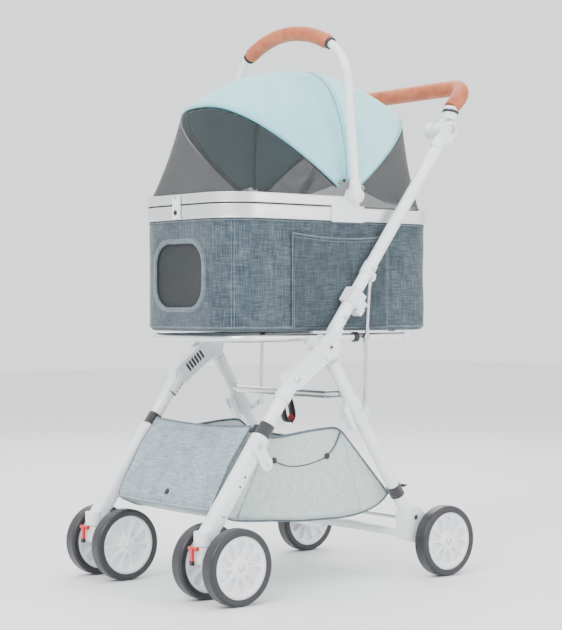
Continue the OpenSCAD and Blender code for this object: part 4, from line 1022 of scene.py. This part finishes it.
for sgn in (1, -1):
    x0 = sgn * (CX - CD - 0.0001)
    hubs.append(lathe_data([(0.0, 0.0), (0.0142, 0.0), (0.0150, 0.0012), (0.0150, 0.0150), (0.0140, 0.0168),
                            (0.0, 0.0172)], (x0, *TILT), (sgn, 0, 0), 40))
    base, tip = leaned((sgn * CX, 0, 0.006)), leaned((sgn * CX, 0, 0.031))
    hubs.append(lathe_data([(0.0, 0.0), (0.0125, 0.002), (0.0120, 0.010), (0.0105, 0.022), (0.0098, 0.0245),
                            (0.0086, 0.0252)], base, tip - base, 32))
    caps.append(lathe_data([(0.0130, 0.0172), (0.0130, 0.0186), (0.0118, 0.0192), (0.0104, 0.0186),
                            (0.0092, 0.0192), (0.0078, 0.0210), (0.0, 0.0214)],
                           (x0, *TILT), (sgn, 0, 0), 40))
    h = leaned((sgn * (CX + 0.0095), 0.006, 0.020))
    hooks.append(tube_data([h, h + (sgn * 0.002, 0.002, -0.002), h + (sgn * 0.002, 0.006, -0.005),
                            h + (0, 0.007, -0.009)], 0.0011, 7))
many("arch_hubs", hubs, M["white_plastic"], "carry_handle", slot="white_plastic")
many("arch_caps", caps, M["gloss_white"], "carry_handle", slot="white_plastic")
many("arch_hooks", hooks, M["steel"], "carry_handle")


# ---------- push handle ----------
STEM_L, STEM_LEAN = 0.047, math.radians(76)
GRIP_LEAN, GRIP_REACH, GRIP_BEND, GRIP_R = math.radians(43), 0.071, 0.052, 0.017
STEM_TOP = HANDLE + STEM_L * np.array([math.cos(STEM_LEAN), math.sin(STEM_LEAN)])


def grip_pt(x, up):
    return at(x, STEM_TOP + up * np.array([math.cos(GRIP_LEAN), math.sin(GRIP_LEAN)]))


half = [grip_pt(SIDE_X, u) for u in (-0.0015, 0.004, 0.010, 0.015)]
half += [grip_pt(SIDE_X - GRIP_BEND * (1 - math.cos(a)), GRIP_REACH - GRIP_BEND + GRIP_BEND * math.sin(a))
         for a in np.linspace(0, math.pi / 2, 20)]
bar = [grip_pt(x, GRIP_REACH) for x in np.linspace(SIDE_X - GRIP_BEND, -(SIDE_X - GRIP_BEND), 30)[1:-1]]
path = half + bar + [np.array([-p[0], p[1], p[2]]) for p in reversed(half)]
n = len(path)
radii = [GRIP_R * min(1.0, 0.90 + 0.04 * min(i, n - 1 - i)) - 0.0002 for i in range(n)]
grip = tube("push_grip", path, GRIP_R, M["leather"], "handle", 32, slot="tan_leather", radii=radii)
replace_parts(grip, "handle_grip")
down = np.array([0, math.sin(GRIP_LEAN), -math.cos(GRIP_LEAN)]) * 0.0169
many("push_grip_seam", stitch_parts([p + down for p in path[3:-3]], 0.0036, 0.0024, 0.0006),
     M["thread_tan"], "handle")
rings = []
stem = np.array([0, math.cos(STEM_LEAN), math.sin(STEM_LEAN)])
for sgn in (1, -1):
    c = at(sgn * SIDE_X, STEM_TOP) - stem * 0.0125
    rings.append(lathe_data([(0.0146, 0.0), (0.0164, 0.0002), (0.0170, 0.0015), (0.0166, 0.0052),
                             (0.0146, 0.0058)], c, stem, 32))
many("push_grip_rings", rings, M["black"], "handle")
for side, name in ((1, "left"), (-1, "right")):
    c = at(side * (SIDE_X - 0.050), HANDLE)
    prof = [(0.0, -0.0014), (0.0085, -0.0014), (0.0105, -0.0006), (0.0125, -0.0010), (0.0150, -0.0006),
            (0.0168, 0.0010), (0.0172, 0.004), (0.0171, 0.0140), (0.0, 0.0142)]
    add(f"button_face_{name}", *lathe_data(prof, c, (side, 0, 0), 40), M["gloss_white"],
        f"hinge_button_{name}", slot="white_plastic", shade_angle=35)
screws = []
for sgn in (1, -1):
    screws.append(lathe_data([(0.0, 0.0), (0.0090, 0.0), (0.0090, 0.0010), (0.0066, 0.0012),
                              (0.0060, 0.0022), (0.0, 0.0024)], at(sgn * (SIDE_X + 0.0130), HANDLE),
                              (sgn, 0, 0), 28))
many("handle_screws", screws, M["steel"], "push_frame", shade_angle=30)


# ---------- small fastenings of the frame ----------
def disc_pair(name, rows, material, body, sides=24):
    """Rivets, screw heads or holes on both sides: rows of (x, place, radius, height)."""
    made = []
    for x, place, r, h in rows:
        for sgn in (1, -1):
            made.append(lathe_data([(0.0, 0.0), (r, 0.0), (r, h * 0.4), (r * 0.72, h * 0.9), (0.0, h)],
                                   at(sgn * x, place), (sgn, 0, 0), sides))
    many(name, made, material, body, shade_angle=40)


disc_pair("leg_holes", [(SIDE_X + 0.0143, (-0.246, 0.226), 0.0026, 0.0003),
                        (SIDE_X + 0.0143, (-0.258, 0.209), 0.0026, 0.0003)], M["black"], "front_frame", 16)
disc_pair("leg_rivets", [(SIDE_X + 0.0142, (-0.294, 0.160), 0.0048, 0.0014), (SIDE_X + 0.0151, ELBOW,
    0.0068, 0.0020)], M["steel"], "front_frame")
disc_pair("push_rivets", [(SIDE_X + 0.0128, HUB + PUSH_DIR * 0.070, 0.0048, 0.0026),
                          (SIDE_X + 0.0128, HUB + PUSH_DIR * 0.50, 0.0042, 0.0030),
                          (SIDE_X + 0.0136, HUB + PUSH_DIR * 0.187, 0.0048, 0.0024)], M["steel"],
                          "push_frame")
disc_pair("hub_sockets", [(0.2049, HUB, 0.0026, 0.0004)], M["black"], "front_frame", 6)
disc_pair("sleeve_rivets", [(SIDE_X + 0.0153, HUB + REAR_DIR * 0.145, 0.0044, 0.0020)], M["steel"],
          "rear_frame")
ribs = []
for a, b, count in ((HUB + (-0.030, -0.018), ELBOW + (0.010, 0.010), 6), (ELBOW + (-0.006, -0.012),
    ELBOW - LEG_DIR * 0.050, 4)):
    d = (b - a) / count
    nrm = np.array([-d[1], d[0]]) / np.linalg.norm(d)
    for k in range(count):
        mid = a + d * (k + 0.5)
        u = d / np.linalg.norm(d) * (np.linalg.norm(d) * 0.30)
        for sgn in (1, -1):
            x = sgn * (SIDE_X - 0.0131)
            q = [mid + u + nrm * 0.0105, mid - u + nrm * 0.0075, mid - u - nrm * 0.0105,
                 mid + u - nrm * 0.0075]
            v = [at(x, p) for p in q] + [at(x - sgn * 0.0006, p) for p in q]
            ribs.append((v, SLAB_FACES))
many("elbow_ribs", ribs, M["black"], "front_frame")


# ---------- straps ----------
def strap(name, centre, axis, r, width, body):
    """Flat webbing wrapped round a tube, with an overlapping end."""
    axis = np.array([0, *axis])
    parts = []
    for sgn in (1, -1):
        c = at(sgn * SIDE_X, centre)
        v, f = [], []
        s, u = np.array([sgn * 1.0, 0, 0]), np.cross(axis, [sgn * 1.0, 0, 0])
        turns = 54
        for i in range(turns + 1):
            a = 2 * math.pi * 1.12 * i / turns + 1.9
            lift = 0.0011 * max(0.0, (i / turns - 0.86) / 0.14)
            rad = r + lift + 0.0002 * math.sin(3 * a)
            for h, q in ((-0.5, 0.0), (-0.5, 0.0014), (0.5, 0.0014), (0.5, 0.0)):
                v.append(c + axis * width * h + (s * math.cos(a) + u * math.sin(a)) * (rad + q))
        f = grid_faces(turns + 1, 4, wrap_cols=True) + [[0, 1, 2, 3], [turns * 4 + k for k in range(4)][::-1]]
        parts.append((v, f))
    return many(name, parts, M["webbing"], body, slot="webbing_black", shade_angle=40)


front_at = LEG_FOOT + LEG_DIR * (SHEATH + 0.028)
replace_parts(strap("front_strap_loops", front_at, LEG_DIR, 0.0131, 0.025, "front_frame"), "front_straps")
rear_at = HUB + REAR_DIR * (np.linalg.norm(REAR_FOOT - HUB) - 0.062)
loops = strap("rear_strap_loops", rear_at, REAR_DIR, 0.0127, 0.024, "rear_frame")
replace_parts(loops, "rear_straps")
back = np.array([-REAR_DIR[1], REAR_DIR[0]])
tails = []
for sgn in (1, -1):
    v, rows = [], 9
    for j in range(rows):
        k = j / (rows - 1)
        p = rear_at + back * (0.0139 + 0.014 * k) + REAR_DIR * (0.006 * k * k)
        for x in np.linspace(-0.0110, 0.0110, 6):
            for q in (0, 0.0016):
                v.append(at(sgn * (SIDE_X + x), p + REAR_DIR * q))
    f = []
    for j in range(rows - 1):
        for i in range(5):
            for q in (0, 1):
                a = j * 12 + i * 2 + q
                f.append([a, a + 2, a + 14, a + 12])
    tails.append((v, f))
many("rear_strap_tails", tails, M["velcro"], "rear_frame")


# ---------- basket ----------
TOP = np.array([-0.200, 0.314])
TOE = np.array([-0.292, 0.166])
FLOOR = [TOE, TOE + (0.030, -0.016), TOE + (0.062, -0.025), np.array([-0.142, 0.134]),
         np.array([-0.088, 0.1295]), np.array([-0.035, 0.128]),
         np.array([0.020, 0.1275]), np.array([0.062, 0.131]), np.array([0.100, 0.140]),
         np.array([0.124, 0.151]), np.array([0.142, 0.166])]
BACK = np.array([0.032, 0.282])
SIDE_TOP = [TOP + (0.006, -0.003), np.array([-0.176, 0.302]), np.array([-0.150, 0.291]),
            np.array([-0.085, 0.297]), np.array([-0.040, 0.301]),
            np.array([0.000, 0.302]), np.array([0.018, 0.295]), BACK]


def side_curve(points, count):
    pts = smooth_path([np.array([0, p[0], p[1]]) for p in points], 8)
    length = edge_len(pts)
    out = resample(pts, length / count)
    return [np.array([p[1], p[2]]) for p in out]


# front panel: sewn fabric from the top hem, round the toe and under
fw = BASKET_X - 0.003
lean = (TOE - TOP) / np.linalg.norm(TOE - TOP)
nrm = np.array([lean[1], -lean[0]])
profile = [TOP + (TOE - TOP) * k + nrm * 0.006 * math.sin(math.pi * k) for k in np.linspace(0, 0.88, 22)]
profile += [TOP + (TOE - TOP) * 0.95 + nrm * 0.0005, TOE + (0.0035, -0.003), TOE + (0.012, -0.0085),
            TOE + (0.026, -0.0145), TOE + (0.044, -0.0200)]
rows, cols = len(profile), 60
pv = []
for j, p in enumerate(profile):
    k = j / (rows - 1)
    for i in range(cols):
        u = -1 + 2 * i / (cols - 1)
        sag = -0.006 * (1 - u * u) * (1 - min(1, k * 3)) if j < 12 else 0.0
        ripple = 0.0007 * math.sin(u * 9 + k * 13) * math.sin(math.pi * k)
        puff = 0.0030 * (1 - u * u) * math.sin(math.pi * min(1, k * 1.15)) + ripple
        pv.append(np.array([u * fw, p[0] + nrm[0] * puff, p[1] + nrm[1] * puff + sag]))
panel = add("basket_panel", pv, grid_faces(rows, cols), M["denim_light"], None, slot="grey_fabric")
thicken(panel, 0.0022, 0)
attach(panel, "front_frame")
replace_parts(panel, "basket_front")
hem = [pv[i] for i in range(cols)]
seam = [pv[20 * cols + i] for i in range(cols)]
left_e, right_e = [pv[j * cols] for j in range(rows)], [pv[j * cols + cols - 1] for j in range(rows)]
many("basket_panel_binding", [tube_data(hem, 0.0024, 8), tube_data(left_e, 0.0020, 8), tube_data(right_e,
    0.0020, 8), tube_data(seam, 0.0011, 6)],
     M["binding"], "front_frame", slot="grey_fabric")
thread = stitch_parts([p + np.array([0, nrm[0], nrm[1]]) * 0.0016 + np.array([0, lean[0], lean[1]]) * 0.007
                       for p in hem], 0.0034, 0.002)
thread += stitch_parts([p + np.array([0, nrm[0], nrm[1]]) * 0.0016 - np.array([0, lean[0],
    lean[1]]) * 0.004 for p in seam], 0.0034, 0.002)
many("basket_panel_stitches", thread, M["thread_light"], "front_frame")

# net: two flanks, the floor and the back as one tub
NS = 84
bottom, top = side_curve(FLOOR, NS), side_curve(SIDE_TOP, NS)
tub_parts = []
V = 20
for sgn in (1, -1):
    v = []
    for j in range(V + 1):
        k = j / V
        for i in range(NS + 1):
            u = i / NS
            p = bottom[i] + (top[i] - bottom[i]) * k
            puff = 0.0042 * math.sin(math.pi * k) * math.sin(math.pi * u) ** 0.6
            pleat = 0.0
            if 0.62 < u < 0.82:
                pleat = 0.0016 * math.exp(-((u - 0.72) / 0.030) ** 2) * math.sin(u * 330) * (1 - 0.4 * k)
            v.append(np.array([sgn * (BASKET_X - 0.001 + puff + pleat), p[0],
                               p[1] - 0.002 * math.sin(math.pi * k)]))
    tub_parts.append((v, grid_faces(V + 1, NS + 1)))
v = []
XS = 24
for i in range(NS + 1):
    for j in range(XS + 1):
        x = -1 + 2 * j / XS
        v.append(np.array([x * (BASKET_X - 0.001), bottom[i][0], bottom[i][1] - 0.0015 * (1 - x * x)]))
tub_parts.append((v, grid_faces(NS + 1, XS + 1)))
v = []
for i in range(13):
    p = FLOOR[-1] + (BACK - FLOOR[-1]) * i / 12
    for j in range(XS + 1):
        x = -1 + 2 * j / XS
        v.append(np.array([x * (BASKET_X - 0.001), p[0] + 0.003 * (1 - x * x) * math.sin(math.pi * i / 12),
                           p[1] - 0.008 * (1 - x * x) * (i / 12) ** 2]))
tub_parts.append((v, grid_faces(13, XS + 1)))
tub = many("basket_tub", tub_parts, M["mint_net"], None, slot="mint_mesh")
thicken(tub, 0.0009, 0)
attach(tub, "front_frame")
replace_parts(tub, "basket_mesh")
# second net layer of the flanks, with its bound top edge and snaps
FLAP = [np.array(p) for p in ((-0.178, 0.262), (-0.151, 0.248), (-0.118, 0.236), (-0.082, 0.2345),
                              (-0.048, 0.240), (-0.021, 0.249), (0.000, 0.268), (0.016, 0.297))]
flap_top = side_curve(FLAP, 56)
flap_low = [np.array([np.interp(i / 56, [0, 1], [-0.236, 0.070]), 0.0]) for i in range(57)]
bx, bz = [p[0] for p in bottom], [p[1] for p in bottom]
for p in flap_low:
    p[1] = float(np.interp(p[0], bx, bz)) + 0.004
parts, binds, snaps, outline = [], [], [], []
for sgn in (1, -1):
    v = []
    for j in range(13):
        k = j / 12
        for i in range(57):
            p = flap_low[i] + (flap_top[i] - flap_low[i]) * k
            v.append(np.array([sgn * (BASKET_X + 0.0022 + 0.0045 * math.sin(math.pi * min(1,
                0.15 + 0.85 * k)) * math.sin(math.pi * i / 56) ** 0.6), p[0], p[1]]))
    parts.append((v, grid_faces(13, 57)))
    binds.append(tube_data([v[12 * 57 + i] for i in range(57)], 0.0019, 8))
    for y, z in ((-0.151, 0.2485), (-0.021, 0.2495)):
        snaps.append(lathe_data([(0.0, 0.0), (0.0058, 0.0), (0.0060, 0.0016), (0.0044, 0.0026),
                                 (0.0, 0.0028)], (sgn * (BASKET_X + 0.0035), y, z), (sgn, 0, 0), 22))
    upper = [np.array([sgn * (BASKET_X - 0.001), p[0], p[1]]) for p in top]
    lower = [np.array([sgn * (BASKET_X - 0.001), p[0], p[1]]) for p in bottom[6:]]
    rear = [np.array([sgn * (BASKET_X - 0.001), *(FLOOR[-1] + (BACK - FLOOR[-1]) * k)])
            for k in np.linspace(0, 1, 16)]
    outline += [tube_data(upper, 0.0025, 8), tube_data(lower, 0.0019, 8), tube_data(rear, 0.0023, 8)]
flap = many("basket_flaps", parts, M["flap_net"], None, slot="mint_mesh")
thicken(flap, 0.0008, 0)
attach(flap, "front_frame")
outline.append(tube_data([np.array([x, BACK[0], BACK[1] - 0.008 * (1 - (x / 0.157) ** 2)])
                          for x in np.linspace(-0.157, 0.157, 24)], 0.0023, 8))
many("basket_binding", outline + binds, M["binding"], "front_frame", slot="grey_fabric")
p = pv[21 * cols + cols // 2]
snaps.append(lathe_data([(0.0, 0.0), (0.0060, 0.0), (0.0060, 0.0016), (0.0, 0.0028)],
                        p + np.array([0, nrm[0], nrm[1]]) * 0.001, (0, nrm[0], nrm[1]), 22))
many("basket_snaps", snaps, M["black"], "front_frame")
# webbing that hangs the basket from the legs, and the pull strap with its red tag
tabs = []
for sgn in (1, -1):
    a = np.array((sgn * (BASKET_X - 0.002), -0.198, 0.311))
    b = np.array((sgn * (SIDE_X - 0.013), *(front_at + (0.0, 0.003))))
    up = np.array([0, LEG_DIR[0], LEG_DIR[1]]) * 0.009
    thick = np.array([0, LEG_DIR[1], -LEG_DIR[0]]) * 0.0013
    q = [a - up, a + up, b + up, b - up]
    tabs.append((q + [p + thick for p in q], SLAB_FACES))
many("basket_tabs", tabs, M["webbing"], "front_frame")
loop = smooth_path([(0.0, 0.0035, 0.372), (0.0, 0.018, 0.345), (0.0, 0.024, 0.315), (0.0, 0.012, 0.304),
                    (0.0, 0.002, 0.318), (0.0, -0.006, 0.352)], 8)
pv2 = []
for p in loop:
    for x, q in ((-0.010, 0), (0.010, 0), (0.010, 0.0014), (-0.010, 0.0014)):
        pv2.append(np.array([x, p[1] + q, p[2]]))
add("pull_strap", pv2, grid_faces(len(loop), 4, wrap_cols=True), M["webbing"], "rear_frame")
tag = lathe_data([(0.0, -0.0012), (0.011, -0.0012), (0.0118, 0.0), (0.011, 0.0012), (0.0, 0.0012)],
                 (0, 0.022, 0.312), (0, 0.97, 0.24), 4)
add("pull_tag", *tag, M["red"], "rear_frame", shade_angle=40)


# ---------- stage, light and camera ----------
WORLD_STRENGTH, FLOOR_HALF = 1.7, 9
floor_m = plastic("studio_floor", (0.86, 0.865, 0.87), (0.6, 0.7), 30, 0.02, wear=0.01, spec=0.2)
corners = [(x * FLOOR_HALF, y * FLOOR_HALF, 0) for x, y in ((-1, -1), (1, -1), (1, 1), (-1, 1))]
floor = add("studio_floor", corners, [[0, 1, 2, 3]], floor_m, None, smooth=False)
world = bpy.data.worlds.new("studio")
bpy.context.scene.world = world
world.use_nodes = True
world.node_tree.nodes["Background"].inputs[0].default_value = (0.93, 0.95, 0.97, 1)
world.node_tree.nodes["Background"].inputs[1].default_value = WORLD_STRENGTH


def lamp(name, place, target, power_w, size):
    data = bpy.data.lights.new(name, "AREA")
    data.energy, data.size = power_w, size
    obj = bpy.data.objects.new(name, data)
    bpy.context.scene.collection.objects.link(obj)
    obj.location = place
    obj.rotation_euler = (Vector(target) - Vector(place)).to_track_quat("-Z", "Y").to_euler()


lamp("key", (1.2, -2.6, 2.6), (0, 0, 0.5), 95, 1.8)
lamp("fill", (2.8, 1.0, 1.6), (0, 0, 0.55), 40, 2.2)
lamp("rim", (-2.2, 1.6, 2.4), (0, 0, 0.6), 48, 1.8)
lamp("top", (0, 0, 3.2), (0, 0, 0.5), 42, 2.4)

AZ, EL = math.radians(51.35), math.radians(0.4)
CAMERA_AT, LENS_MM = (2.59, -2.076, 0.543), 94.46
back_dir = Vector((math.sin(AZ) * math.cos(EL), -math.cos(AZ) * math.cos(EL), math.sin(EL)))
cam_data = bpy.data.cameras.new("camera")
cam_data.sensor_width = 36.0
cam_data.lens = LENS_MM
camera = bpy.data.objects.new("camera", cam_data)
bpy.context.scene.collection.objects.link(camera)
camera.location = CAMERA_AT
camera.rotation_euler = (-back_dir).to_track_quat("-Z", "Y").to_euler()
bpy.context.scene.camera = camera
